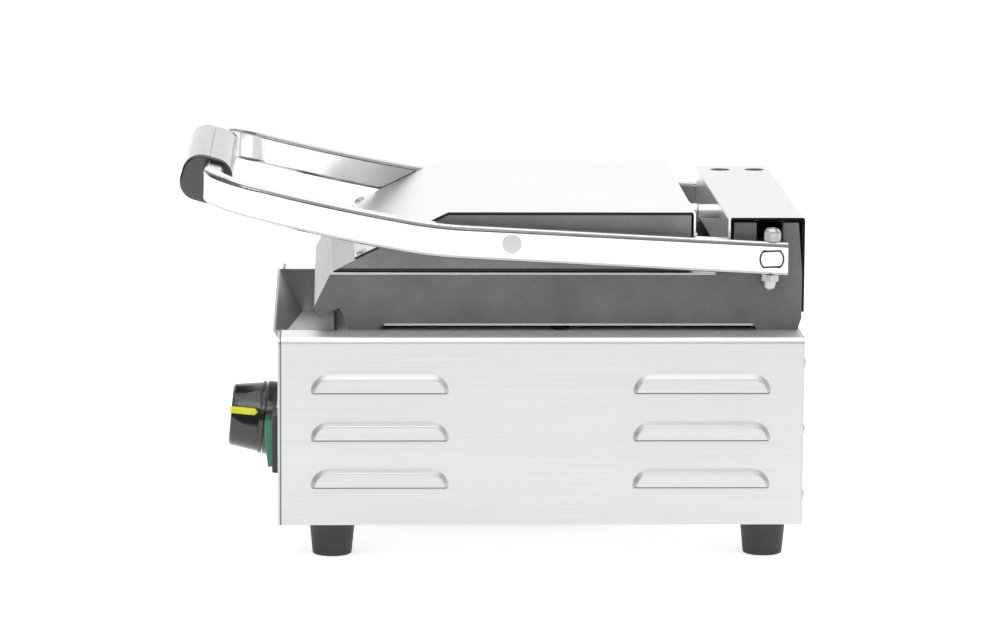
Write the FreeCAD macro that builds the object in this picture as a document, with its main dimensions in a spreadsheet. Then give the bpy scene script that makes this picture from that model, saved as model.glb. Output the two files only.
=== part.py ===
import FreeCAD, Part
import math
import os
import Sketcher
from FreeCAD import Placement, Rotation, Vector

# Panini press: a single-station contact grill. Millimetres and degrees.
# Frame: +X to the user's right, -Y towards the user, +Z up. The origin is under the middle of the
# whole machine, on the surface it stands on. Depths are measured back from the front of the base.

DIMENSIONS = {
    # base casing, folded sheet
    "base_front": -127.4, "base_depth": 312.8, "base_half": 152.0, "base_floor": 22.0, "base_top": 135.0,
    "sheet_gauge": 1.2, "bend_radius": 4.0,
    # side louvres: pressed hoods, open below
    "louvre_length": 82.0, "louvre_height": 10.8, "louvre_rise": 3.0, "louvre_lean": 0.8,
    "louvre_wall": 1.0, "louvre_start": 19.5, "louvre_column_pitch": 191.5,
    "louvre_top": 112.9, "louvre_row_pitch": 28.5,
    # feet
    "foot_top_radius": 13.8, "foot_tread_radius": 11.7, "foot_inset": 127.0, "foot_front": 32.3,
    "foot_rear": 291.4, "foot_recess_radius": 6.0, "foot_recess": 12.0, "foot_screw_radius": 2.5,
    # openings in the top of the casing
    "tray_half": 123.5, "tray_clearance": 0.6, "heat_opening_half": 100.0, "heat_opening_front": 71.0,
    "heat_opening_rear": 252.0,
    # drip tray
    "tray_rim_front": -3.0, "tray_rear": 34.4, "tray_deep": 27.0, "tray_shallow": 5.7, "tray_slope": 0.57,
    "tray_gauge": 1.0, "tray_lip_reach": 5.0, "tray_lip_top": 132.2, "runner_reach": 9.5,
    # lower cast plate, side outline
    "plate_half": 123.5, "cook_level": 170.0, "rim_front": 31.7, "lip_tip": 21.5, "lip_tip_level": 149.0,
    "lip_toe": 24.0, "lip_toe_level": 142.3, "lip_root": 36.5, "lip_root_level": 148.5,
    "front_foot_top": 38.5, "front_foot_top_level": 145.0, "front_foot_front": 41.5,
    "front_foot_rear": 63.0, "rear_foot_front": 285.0, "rear_foot_rear": 311.0, "skirt_level": 137.7,
    "casting_rear": 313.4, "cook_rear": 262.0, "shelf_level": 158.0, "casting_recess_level": 156.0,
    "casting_recess_front": 70.0, "casting_recess_rear": 256.0, "casting_recess_half": 110.0,
    # hinge towers on the lower cast plate
    "tower_inner": 95.0, "tower_front": 272.6, "tower_rear_top": 310.9, "tower_top": 199.8,
    "hinge_depth": 293.7, "hinge_level": 180.0, "bush_radius": 8.0, "shaft_radius": 7.0,
    "fit_clearance": 0.05, "bush_length": 25.0,
    # cooking grooves
    "groove_width": 4.0, "groove_depth": 2.0, "groove_pitch": 10.0, "groove_count": 21.0,
    "groove_front": 46.0, "groove_rear": 240.0,
    # upper cast plate, side outline
    "plate_gap": 0.6, "upper_front": 33.0, "upper_brow": 45.6, "upper_brow_level": 178.6,
    "cover_fold": 101.4, "cover_top": 206.0, "cover_rear": 249.3, "cover_gauge": 1.2, "cover_seat": 0.5,
    "cover_shift": 0.3, "cover_flange_level": 176.0, "cover_screw_depth": 50.0, "flange_screw_level": 190.0,
    "upper_rear": 246.6, "upper_recess_level": 184.0,
    "upper_recess_front": 104.0, "upper_recess_rear": 238.0,
    # heating elements and what holds them
    "element_radius": 4.0, "element_run": 25.0, "element_front": 108.0, "element_rear": 232.0,
    "clamp_gauge": 2.0, "clamp_half": 98.0, "stud_radius": 3.0, "stud_column": 50.0,
    "stud_front": 118.0, "stud_rear": 188.0, "nut_radius": 5.77, "nut_height": 4.6,
    # hinge cap
    "cap_front": 268.8, "cap_rear": 314.8, "cap_top": 202.8, "cap_gauge": 1.4, "cap_front_level": 173.0,
    "cap_rear_level": 146.0, "cap_screw_level": 150.5, "cap_hole_radius": 6.25, "cap_hole_side": 104.5,
    "cap_hole_reach": 11.0,
    "conduit_side": 50.0, "conduit_level": 196.8, "conduit_radius": 4.25, "conduit_front": 256.5,
    "conduit_rear": 276.0,
    # handle
    "arm_inner": 126.0, "arm_thickness": 12.0, "arm_height": 20.1, "arm_rise": 0.15, "arm_rear": 303.4,
    "arm_pitch": 3.0, "arm_bend_start": 110.7, "arm_bend_radius": 282.0, "arm_bend_pitch": 10.23,
    "arm_sweep_radius": 1340.0, "arm_front": -45.0, "arm_corner": 34.5, "arm_edge_radius": 3.0,
    "pivot_depth": 138.9, "pivot_level": 188.9, "pivot_head_radius": 5.75,
    "pivot_radius": 4.0, "pivot_reach": 9.0, "washer_radius": 9.0, "shaft_flat": 4.7,
    "shaft_ring": 0.5,
    # grip
    "grip_half": 78.0, "grip_width": 31.0, "grip_height": 28.4, "grip_round": 11.5, "grip_tilt": 16.0,
    "grip_depth": -43.8, "grip_level": 219.6, "grip_screw_level": 219.8, "grip_parting": -41.5,
    "grip_edge": 1.6,
    # dial, its seat on the front panel and the thermostat behind it
    "dial_side": 82.0, "dial_level": 73.8, "dial_tilt": 5.5, "dial_turn": 18.0, "dial_seat": 2.15,
    "bezel_radius": 22.4, "bezel_height": 6.4, "dial_gap": 0.4, "skirt_radius": 22.2, "skirt_height": 2.4,
    "dial_radius": 21.2, "dial_front_radius": 18.5, "dial_front": 29.3, "dial_round": 2.6,
    "dial_flat": 18.6, "dial_flat_half": 11.0, "dial_flat_border": 2.2, "spindle_radius": 3.0,
    # rocker switch
    "switch_side": 124.0, "switch_level": 68.2, "switch_half_width": 13.5, "switch_half_height": 17.4,
    "switch_bezel": 3.6, "rocker_half_width": 10.8, "rocker_half_height": 14.7, "rocker_tip": 3.9,
    "rocker_ridge": 4.8, "rocker_tilt": 3.3,
    # mains cable bushing in the rear panel
    "gland_side": 60.0, "gland_level": 50.0, "gland_bore": 4.2, "gland_neck": 7.9, "gland_flange": 11.5,
    "gland_proud": 1.8,
    # counterbalance springs
    "spring_radius": 11.2, "spring_wire": 1.7, "spring_pitch": 3.9, "spring_turns": 7.0, "spring_start": 61.0,
}

doc = FreeCAD.newDocument("PaniniPress")


class Size(float):
    """A number that remembers the spreadsheet formula it was worked out from."""

    def __new__(cls, number, formula):
        size = super().__new__(cls, number)
        size.formula = formula
        return size

    def joined(self, other, sign, number, turned=False):
        pair = (formula_of(other), self.formula) if turned else (self.formula, formula_of(other))
        return Size(number, f"({pair[0]} {sign} {pair[1]})")

    def __add__(self, other):
        return self.joined(other, "+", float(self) + float(other))

    def __radd__(self, other):
        return self.joined(other, "+", float(other) + float(self), True)

    def __sub__(self, other):
        return self.joined(other, "-", float(self) - float(other))

    def __rsub__(self, other):
        return self.joined(other, "-", float(other) - float(self), True)

    def __mul__(self, other):
        return self.joined(other, "*", float(self) * float(other))

    def __rmul__(self, other):
        return self.joined(other, "*", float(other) * float(self), True)

    def __truediv__(self, other):
        return self.joined(other, "/", float(self) / float(other))

    def __neg__(self):
        return Size(-float(self), f"(0 - {self.formula})")


def formula_of(number):
    """The formula of a size, or a plain number as text."""
    if isinstance(number, Size):
        return number.formula
    return f"({float(number):.6f})"


def make_sheet():
    """Put every driving dimension in the spreadsheet, one aliased cell each."""
    sheet = doc.addObject("Spreadsheet::Sheet", "Dims")
    for row, (alias, number) in enumerate(DIMENSIONS.items(), start=1):
        sheet.set(f"A{row}", alias)
        sheet.set(f"B{row}", str(number))
        sheet.setAlias(f"B{row}", alias)
    doc.recompute()
    return sheet


class Sizes:
    """The spreadsheet's aliases as sizes: D.base_top, D.plate_half and so on."""

    def __init__(self, sheet):
        for alias in DIMENSIONS:
            setattr(self, alias, Size(float(sheet.get(alias)), f"Dims.{alias}"))


D = Sizes(make_sheet())


def back(depth):
    """The Y of a depth measured back from the front of the base."""
    return D.base_front + depth


# ---------------------------------------------------------------- plain solids and booleans

TURNS = {
    "X": Rotation(Vector(0, 1, 0), 90),
    "Y": Rotation(Vector(1, 0, 0), -90),
    "Z": Rotation(),
}


def bind(obj, **sizes):
    """Tie an object's properties to their formulas."""
    for name, number in sizes.items():
        obj.setExpression(name, formula_of(number))


def place(obj, at):
    """Tie an object's position to its formulas, keeping its turn."""
    for axis, number in zip("xyz", at):
        obj.setExpression(f"Placement.Base.{axis}", formula_of(number))


def box(name, low, high):
    obj = doc.addObject("Part::Box", name)
    bind(obj, Length=high[0] - low[0], Width=high[1] - low[1], Height=high[2] - low[2])
    place(obj, low)
    return obj


def rod(name, radius, start, length, axis="Z"):
    obj = doc.addObject("Part::Cylinder", name)
    obj.Placement = Placement(Vector(), TURNS[axis])
    bind(obj, Radius=radius, Height=length)
    place(obj, start)
    return obj


def cone(name, radius_start, radius_end, start, length, axis="Z"):
    obj = doc.addObject("Part::Cone", name)
    obj.Placement = Placement(Vector(), TURNS[axis])
    bind(obj, Radius1=radius_start, Radius2=radius_end, Height=length)
    place(obj, start)
    return obj


def hexagon(name, radius, start, length, axis="Z"):
    obj = doc.addObject("Part::Prism", name)
    obj.Polygon = 6
    obj.Placement = Placement(Vector(), TURNS[axis])
    bind(obj, Circumradius=radius, Height=length)
    place(obj, start)
    return obj


def fuse(name, pieces):
    if len(pieces) == 1:
        return pieces[0]
    obj = doc.addObject("Part::MultiFuse", name)
    obj.Shapes = pieces
    obj.Refine = True
    return obj


def cut(name, base, tools):
    obj = doc.addObject("Part::Cut", name)
    obj.Base = base
    obj.Tool = fuse(f"{name}Tools", tools)
    return obj


def common(name, first, second):
    obj = doc.addObject("Part::MultiCommon", name)
    obj.Shapes = [first, second]
    return obj


def picked_edges(obj, test):
    """Numbers of the object's edges whose middle and direction pass a test."""
    doc.recompute()
    numbers = []
    for number, edge in enumerate(obj.Shape.Edges, start=1):
        middle = edge.valueAt((edge.FirstParameter + edge.LastParameter) / 2)
        way = edge.tangentAt((edge.FirstParameter + edge.LastParameter) / 2)
        if test(middle, way):
            numbers.append(number)
    return numbers


def rounded(name, base, radius, test):
    """Round the picked edges of a plain solid."""
    obj = doc.addObject("Part::Fillet", name)
    obj.Base = base
    obj.Edges = [(number, float(radius), float(radius)) for number in picked_edges(base, test)]
    return obj


def raw_shape(name, shape):
    """A sub-part whose shape no single feature makes: a swept tube, a coil or a bent bar."""
    obj = doc.addObject("Part::Feature", name)
    obj.Shape = shape
    return obj


# ---------------------------------------------------------------- bodies with sketches

def origin_plane(body, role):
    return next(feature for feature in body.Origin.OriginFeatures if feature.Role == role)


def sketch_on(body, name, role, offset=0):
    """An empty sketch on one of its own body's origin planes, moved along the plane's normal."""
    sketch = body.newObject("Sketcher::SketchObject", name)
    sketch.AttachmentSupport = [(origin_plane(body, role), "")]
    sketch.MapMode = "FlatFace"
    sketch.setExpression("AttachmentOffset.Base.z", formula_of(offset))
    return sketch


def hold(sketch, geometry, point, spot):
    """Fix a sketch point by its two distances from the sketch's origin."""
    for kind, axis_line, number in (("DistanceX", -2, spot[0]), ("DistanceY", -1, spot[1])):
        if abs(number) < 1e-9:
            sketch.addConstraint(Sketcher.Constraint("PointOnObject", geometry, point, axis_line))
            continue
        constraint = Sketcher.Constraint(kind, -1, 1, geometry, point, float(number))
        index = sketch.addConstraint(constraint)
        sketch.setExpression(f"Constraints[{index}]", formula_of(number))


def outline(sketch, corners):
    """A closed outline of straight lines."""
    first = sketch.GeometryCount
    count = len(corners)
    for index, corner in enumerate(corners):
        following = corners[(index + 1) % count]
        line = Part.LineSegment(Vector(corner[0], corner[1], 0), Vector(following[0], following[1], 0))
        sketch.addGeometry(line, False)
    for index in range(count):
        joint = Sketcher.Constraint("Coincident", first + index, 2, first + (index + 1) % count, 1)
        sketch.addConstraint(joint)
    for index, corner in enumerate(corners):
        hold(sketch, first + index, 1, corner)


def rectangle(sketch, low, high):
    outline(sketch, [low, (high[0], low[1]), high, (low[0], high[1])])


def circle(sketch, centre, radius):
    ring = Part.Circle(Vector(centre[0], centre[1], 0), Vector(0, 0, 1), float(radius))
    index = sketch.addGeometry(ring, False)
    hold(sketch, index, 3, centre)
    constraint = sketch.addConstraint(Sketcher.Constraint("Radius", index, float(radius)))
    sketch.setExpression(f"Constraints[{constraint}]", formula_of(radius))


def pad(body, sketch, length, side="One side", flip=False, taper=0):
    feature = body.newObject("PartDesign::Pad", f"{sketch.Name}Pad")
    feature.Profile = sketch
    feature.SideType = side
    feature.Reversed = flip
    bind(feature, Length=length, TaperAngle=taper)
    doc.recompute()
    return feature


def pocket(body, sketch, length, side="One side", flip=False, taper=0):
    """Cut a sketch out of a body, and make sure that it cuts."""
    before = body.Shape.Volume
    feature = body.newObject("PartDesign::Pocket", f"{sketch.Name}Pocket")
    feature.Profile = sketch
    feature.SideType = side
    feature.Reversed = flip
    bind(feature, Length=length, TaperAngle=taper)
    doc.recompute()
    if body.Shape.Volume > before - 0.1:
        raise ValueError(f"{feature.Name} cuts nothing")
    return feature


def revolve(body, sketch):
    feature = body.newObject("PartDesign::Revolution", f"{sketch.Name}Turn")
    feature.Profile = sketch
    feature.ReferenceAxis = (sketch, ["V_Axis"])
    feature.Angle = 360
    doc.recompute()
    return feature


def fillet(body, name, radius, test):
    feature = body.newObject("PartDesign::Fillet", name)
    base = body.Tip if body.Tip != feature else feature.BaseFeature
    feature.Base = (base, [f"Edge{number}" for number in picked_edges(base, test)])
    bind(feature, Radius=radius)
    doc.recompute()
    return feature


def in_line(body, name, originals, axis, length, count):
    """Repeat features in a line; the count is the spreadsheet's."""
    pattern = body.newObject("PartDesign::LinearPattern", name)
    pattern.Originals = originals
    pattern.Direction = (origin_plane(body, axis), [""])
    bind(pattern, Length=length)
    pattern.Occurrences = int(count)
    body.Tip = pattern
    doc.recompute()
    return pattern


def mirrored(body, name, originals, plane_role="YZ_Plane"):
    """Repeat features on the other side of the machine."""
    mirror = body.newObject("PartDesign::Mirrored", name)
    mirror.Originals = originals
    mirror.MirrorPlane = (origin_plane(body, plane_role), [""])
    body.Tip = mirror
    doc.recompute()
    return mirror


NODES = {}


def node(label, obj):
    """Name a finished sub-part; its label is its file name."""
    obj.Label = label
    NODES[label] = obj
    return obj


# ---------------------------------------------------------------- base casing

def louvre_form(name, half_length, top, rise, edge):
    """A pressed hood on the plane X = 0: sloping flanks, quarter-round ends, mouth at the bottom."""
    corner = D.louvre_height + top
    lean = D.louvre_lean * rise
    middle = doc.addObject("PartDesign::Body", f"{name}Middle")
    section = sketch_on(middle, f"{name}Section", "XZ_Plane")
    outline(section, [(0, -D.louvre_height), (rise, -D.louvre_height), (rise, top - lean), (0, top)])
    pad(middle, section, 2 * (half_length - corner), "Symmetric")
    ends = []
    for side in (1, -1):
        start = (0, side * (half_length - corner), -D.louvre_height)
        ends.append(cone(f"{name}End{side + 1}", corner, corner - lean, start, rise, "X"))
    limit = box(f"{name}Limit", (0, -half_length, -D.louvre_height), (rise, half_length, top))
    form = common(f"{name}Form", fuse(f"{name}Whole", [middle] + ends), limit)
    return rounded(name, form, edge,
                   lambda spot, way: spot.x > rise - 0.01 and spot.z > 0.01 - D.louvre_height)


def louvre_places():
    """The middle of each louvre's top edge and the side it is on."""
    for side in (1, -1):
        for column in range(2):
            for row in range(3):
                middle = back(D.louvre_start + D.louvre_length / 2 + column * D.louvre_column_pitch)
                yield side, middle, D.louvre_top - row * D.louvre_row_pitch


def copies(name, master):
    """Linked copies of one hood at every louvre."""
    links = []
    for number, (side, depth, level) in enumerate(louvre_places()):
        link = doc.addObject("App::Link", f"{name}{number}")
        link.LinkedObject = master
        link.LinkTransform = False
        turn = Rotation(Vector(0, 0, 1), 0 if side > 0 else 180)
        link.Placement = Placement(Vector(), turn)
        place(link, (side * D.base_half, depth, level))
        links.append(link)
    return links


def casing_wrap():
    """Top and sides folded from one sheet, with louvres, a tray notch and the heat opening."""
    wrap = doc.addObject("PartDesign::Body", "WrapSheet")
    rear = -(back(D.base_depth) - D.sheet_gauge)
    blank = sketch_on(wrap, "WrapBlank", "XZ_Plane", rear)
    rectangle(blank, (-D.base_half, D.base_floor), (D.base_half, D.base_top))
    length = D.base_depth - 2 * D.sheet_gauge
    pad(wrap, blank, length)
    fillet(wrap, "WrapOuterBend", D.bend_radius,
           lambda middle, way: abs(way.y) > 0.9 and middle.z > D.base_top - 1)
    hollow = sketch_on(wrap, "WrapHollow", "XZ_Plane", rear)
    inner = D.base_half - D.sheet_gauge
    rectangle(hollow, (-inner, D.base_floor - 1), (inner, D.base_top - D.sheet_gauge))
    pocket(wrap, hollow, length, flip=True)
    fillet(wrap, "WrapInnerBend", D.bend_radius - D.sheet_gauge,
           lambda middle, way: abs(way.y) > 0.9 and abs(middle.z - D.base_top + D.sheet_gauge) < 0.1)
    openings = sketch_on(wrap, "WrapOpenings", "XY_Plane", D.base_top)
    notch = D.tray_half + D.tray_clearance
    rectangle(openings, (-notch, D.base_front - 1), (notch, back(D.tray_rear + D.tray_clearance)))
    rectangle(openings, (-D.heat_opening_half, back(D.heat_opening_front)),
              (D.heat_opening_half, back(D.heat_opening_rear)))
    for side, depth in plate_bolt_spots():
        circle(openings, (side, depth), 3.2)
    pocket(wrap, openings, D.sheet_gauge + 1)

    half = D.louvre_length / 2
    hood = louvre_form("LouvreHood", half, 0, D.louvre_rise, 1.2)
    void = louvre_form("LouvreVoid", half - D.louvre_wall, -D.louvre_wall, D.louvre_rise - D.louvre_wall, 0.6)
    slot_half = half - 2.2
    slot = box("LouvreSlot", (-D.sheet_gauge - 1, -slot_half, -D.louvre_height - 0.8),
               (0.2, slot_half, -D.louvre_height / 2))
    pressed = fuse("WrapPressed", [wrap] + copies("Hood", hood))
    opened = cut("WrapOpened", pressed, copies("Void", void) + copies("Slot", slot))
    return node("casing_wrap", opened)


def base_panels():
    """Front, rear and bottom sheets of the base."""
    front = doc.addObject("PartDesign::Body", "FrontSheet")
    face = sketch_on(front, "FrontOutline", "XZ_Plane", -(D.base_front + D.sheet_gauge))
    rectangle(face, (-D.base_half, D.base_floor), (D.base_half, D.base_top))
    pad(front, face, D.sheet_gauge)
    fillet(front, "FrontCorners", D.bend_radius,
           lambda middle, way: abs(way.y) > 0.9 and middle.z > D.base_top - 1)
    notch = sketch_on(front, "TrayNotch", "XZ_Plane", -D.base_front)
    half = D.tray_half + D.tray_clearance
    sill = D.base_top - D.tray_gauge - 1.2
    lip_half = D.tray_half + D.tray_lip_reach + D.tray_clearance
    lip_level = D.tray_lip_top - 1.3
    outline(notch, [(-half, sill - D.tray_deep), (half, sill - D.tray_shallow), (half, lip_level),
                    (lip_half, lip_level), (lip_half, D.base_top + 1), (-lip_half, D.base_top + 1),
                    (-lip_half, lip_level), (-half, lip_level)])
    pocket(front, notch, D.sheet_gauge)
    window = sketch_on(front, "SwitchWindow", "XZ_Plane", -D.base_front)
    rectangle(window, (D.switch_side - D.rocker_half_width - 1.4, D.switch_level - D.rocker_half_height - 1),
              (D.switch_side + D.rocker_half_width + 1.4, D.switch_level + D.rocker_half_height + 1))
    pocket(front, window, D.sheet_gauge)
    seat = dial_rod("DialSeat", D.bezel_radius - 0.6, -4.0, D.dial_seat + 4.0)
    ahead = box("DialSeatAhead", (D.dial_side - 40, D.base_front - 20, D.dial_level - 40),
                (D.dial_side + 40, D.base_front + 0.5, D.dial_level + 40))
    raised = fuse("FrontRaised", [front, common("DialWedge", seat, ahead)])
    opening = dial_rod("DialOpening", 5.2, -10.0, 20.0)
    node("front_panel", cut("FrontOpened", raised, [opening]))

    rear = doc.addObject("PartDesign::Body", "RearSheet")
    face = sketch_on(rear, "RearOutline", "XZ_Plane", -back(D.base_depth))
    rectangle(face, (-D.base_half, D.base_floor), (D.base_half, D.base_top))
    pad(rear, face, D.sheet_gauge)
    fillet(rear, "RearCorners", D.bend_radius,
           lambda middle, way: abs(way.y) > 0.9 and middle.z > D.base_top - 1)
    holes = sketch_on(rear, "RearHoles", "XZ_Plane", -back(D.base_depth))
    circle(holes, (D.gland_side, D.gland_level), D.gland_neck)
    for side, level in rear_screw_spots():
        circle(holes, (side, level), 1.9)
    pocket(rear, holes, D.sheet_gauge, flip=True)
    slit = sketch_on(rear, "RearVent", "XZ_Plane", -back(D.base_depth))
    rectangle(slit, (-110, 70), (-107, 110))
    vent = pocket(rear, slit, D.sheet_gauge, flip=True)
    in_line(rear, "RearVents", [vent], "X_Axis", 120, 13)
    node("rear_panel", rear)

    bottom = doc.addObject("PartDesign::Body", "BottomSheet")
    half = D.base_half - D.sheet_gauge
    plan = sketch_on(bottom, "BottomOutline", "XY_Plane", D.base_floor)
    rectangle(plan, (-half, back(D.sheet_gauge)), (half, back(D.base_depth - D.sheet_gauge)))
    pad(bottom, plan, D.sheet_gauge)
    holes = sketch_on(bottom, "FootHoles", "XY_Plane", D.base_floor)
    for side, depth in foot_spots():
        circle(holes, (side, depth), D.foot_screw_radius + 0.1)
    pocket(bottom, holes, D.sheet_gauge, flip=True)
    slit = sketch_on(bottom, "BottomVent", "XY_Plane", D.base_floor)
    rectangle(slit, (-60, -60), (-56, 80))
    vent = pocket(bottom, slit, D.sheet_gauge, flip=True)
    in_line(bottom, "BottomVents", [vent], "X_Axis", 108, 10)
    node("bottom_plate", bottom)


def rear_screw_spots():
    """Side and level of the screws through the rear panel."""
    for side in (-140, 140):
        for level in (38, 78, 118):
            yield side, level


def foot_spots():
    for depth in (D.foot_front, D.foot_rear):
        for side in (-D.foot_inset, D.foot_inset):
            yield side, back(depth)


def feet():
    """Four tapered rubber feet, each with a screw in a recess under it."""
    screws = []
    names = ("foot_front_left", "foot_front_right", "foot_rear_left", "foot_rear_right")
    for name, (side, depth) in zip(names, foot_spots()):
        rubber = cone(f"{name}Rubber", D.foot_tread_radius, D.foot_top_radius, (side, depth, 0), D.base_floor)
        edged = rounded(f"{name}Edge", rubber, 1.2, lambda middle, way: middle.z < 0.01)
        recess = rod(f"{name}Recess", D.foot_recess_radius, (side, depth, -1), D.foot_recess + 1)
        bore = rod(f"{name}Bore", D.foot_screw_radius + 0.1, (side, depth, D.foot_recess - 1), 20)
        node(name, cut(f"{name}Foot", edged, [recess, bore]))
        shank = rod(f"{name}Shank", D.foot_screw_radius, (side, depth, D.foot_recess - 0.5), 18)
        head = rod(f"{name}Head", 4.6, (side, depth, D.foot_recess - 3), 3)
        nut = hexagon(f"{name}Nut", 4.6, (side, depth, D.base_floor + D.sheet_gauge), 4)
        screws.append(fuse(f"{name}Screw", [shank, head, nut]))
    node("foot_screws", fuse("FootScrews", screws))


def pan_screw(name, at, length, radius=1.8, head_radius=3.4, head=1.7, way=1):
    """A pan-head screw along Y; way is +1 when the head faces the back."""
    side, depth, level = at
    start = depth - length if way > 0 else depth
    shank = rod(f"{name}Shank", radius, (side, start, level), length, "Y")
    head_start = depth if way > 0 else depth - head
    cap = rod(f"{name}Head", head_radius, (side, head_start, level), head, "Y")
    eased = rounded(f"{name}Eased", cap, 0.7,
                    lambda middle, turn: abs(middle.y - (head_start + (head if way > 0 else 0))) < 0.01)
    return fuse(f"{name}Screw", [shank, eased])


def casing_screws():
    screws = []
    for number, (side, level) in enumerate(rear_screw_spots()):
        screws.append(pan_screw(f"Rear{number}", (side, back(D.base_depth), level), 8))
    node("casing_screws", fuse("CasingScrews", screws))


# ---------------------------------------------------------------- drip tray and its runners

def tray_section(body, name, side, depth, inset):
    """The trough's four-cornered section at one end, sloping at the front."""
    sketch = sketch_on(body, name, "YZ_Plane", side)
    top = D.base_top + (1 if inset else 0)
    lean = D.tray_slope
    front_top = back(D.tray_rim_front) + inset * 1.15 - (lean if inset else 0)
    floor = D.base_top - depth + inset
    front_floor = back(D.tray_rim_front) + inset * 1.15 + lean * (depth - inset)
    rear = back(D.tray_rear) - inset
    outline(sketch, [(front_top, top), (front_floor, floor), (rear, floor), (rear, top)])
    return sketch


def drip_tray():
    """Full-width trough under the front lip, its floor falling to the user's left."""
    tray = doc.addObject("PartDesign::Body", "TrayTrough")
    deep = D.tray_deep + D.tray_gauge
    shallow = D.tray_shallow + D.tray_gauge
    left = tray_section(tray, "TrayLeft", -D.tray_half, deep, 0)
    right = tray_section(tray, "TrayRight", D.tray_half, shallow, 0)
    outer = tray.newObject("PartDesign::AdditiveLoft", "TrayOuter")
    outer.Profile = left
    outer.Sections = [right]
    outer.Ruled = True
    doc.recompute()
    full = tray.Shape.Volume
    left_inner = tray_section(tray, "TrayLeftInner", D.tray_gauge - D.tray_half, deep, D.tray_gauge)
    right_inner = tray_section(tray, "TrayRightInner", D.tray_half - D.tray_gauge, shallow, D.tray_gauge)
    inner = tray.newObject("PartDesign::SubtractiveLoft", "TrayInner")
    inner.Profile = left_inner
    inner.Sections = [right_inner]
    inner.Ruled = True
    doc.recompute()
    if tray.Shape.Volume > full / 2:
        raise ValueError("the trough is not hollow")
    lips = []
    runners = []
    start = back(D.sheet_gauge + 0.4)
    end = back(D.tray_rear - 0.4)
    for side, name in ((-1, "Left"), (1, "Right")):
        wall = side * (D.tray_half - 0.2)
        reach = side * (D.tray_half + D.tray_lip_reach)
        lips.append(span_box(f"TrayLip{name}", wall, reach, start, end, D.tray_lip_top - 1, D.tray_lip_top))
        near = side * (D.tray_half + D.tray_clearance + 0.1)
        far = side * (D.tray_half + D.runner_reach)
        ledge = span_box(f"Ledge{name}", near, far, start, end, D.tray_lip_top - 2.4, D.tray_lip_top - 1.2)
        web = span_box(f"Web{name}", far, far + side * 1.2, start, end, D.tray_lip_top - 2.4,
                       D.base_top - D.sheet_gauge)
        runners.append(fuse(f"Runner{name}", [ledge, web]))
    rim = rod("TrayHem", 0.9, (-D.tray_half, back(D.tray_rim_front) + 0.9, D.base_top - 0.4),
              2 * D.tray_half, "X")
    node("drip_tray", fuse("TrayWhole", [tray, rim] + lips))
    node("tray_runner_left", runners[0])
    node("tray_runner_right", runners[1])


def span_box(name, side_a, side_b, front, rear, low, high):
    """A box between two sides given in either order."""
    first, second = (side_a, side_b) if side_a < side_b else (side_b, side_a)
    return box(name, (first, front, low), (second, rear, high))


# ---------------------------------------------------------------- lower cast plate

def cooking_grooves(body, name, level, way):
    """Grooves from front to back in a cooking face; way is +1 for a face that looks up."""
    half_run = D.groove_pitch * (D.groove_count - 1) / 2
    sketch = sketch_on(body, name, "XY_Plane", level)
    rectangle(sketch, (-half_run - D.groove_width / 2, back(D.groove_front)),
              (-half_run + D.groove_width / 2, back(D.groove_rear)))
    groove = pocket(body, sketch, D.groove_depth, flip=way < 0)
    in_line(body, f"{name}Row", [groove], "X_Axis", 2 * half_run, D.groove_count)


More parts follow.
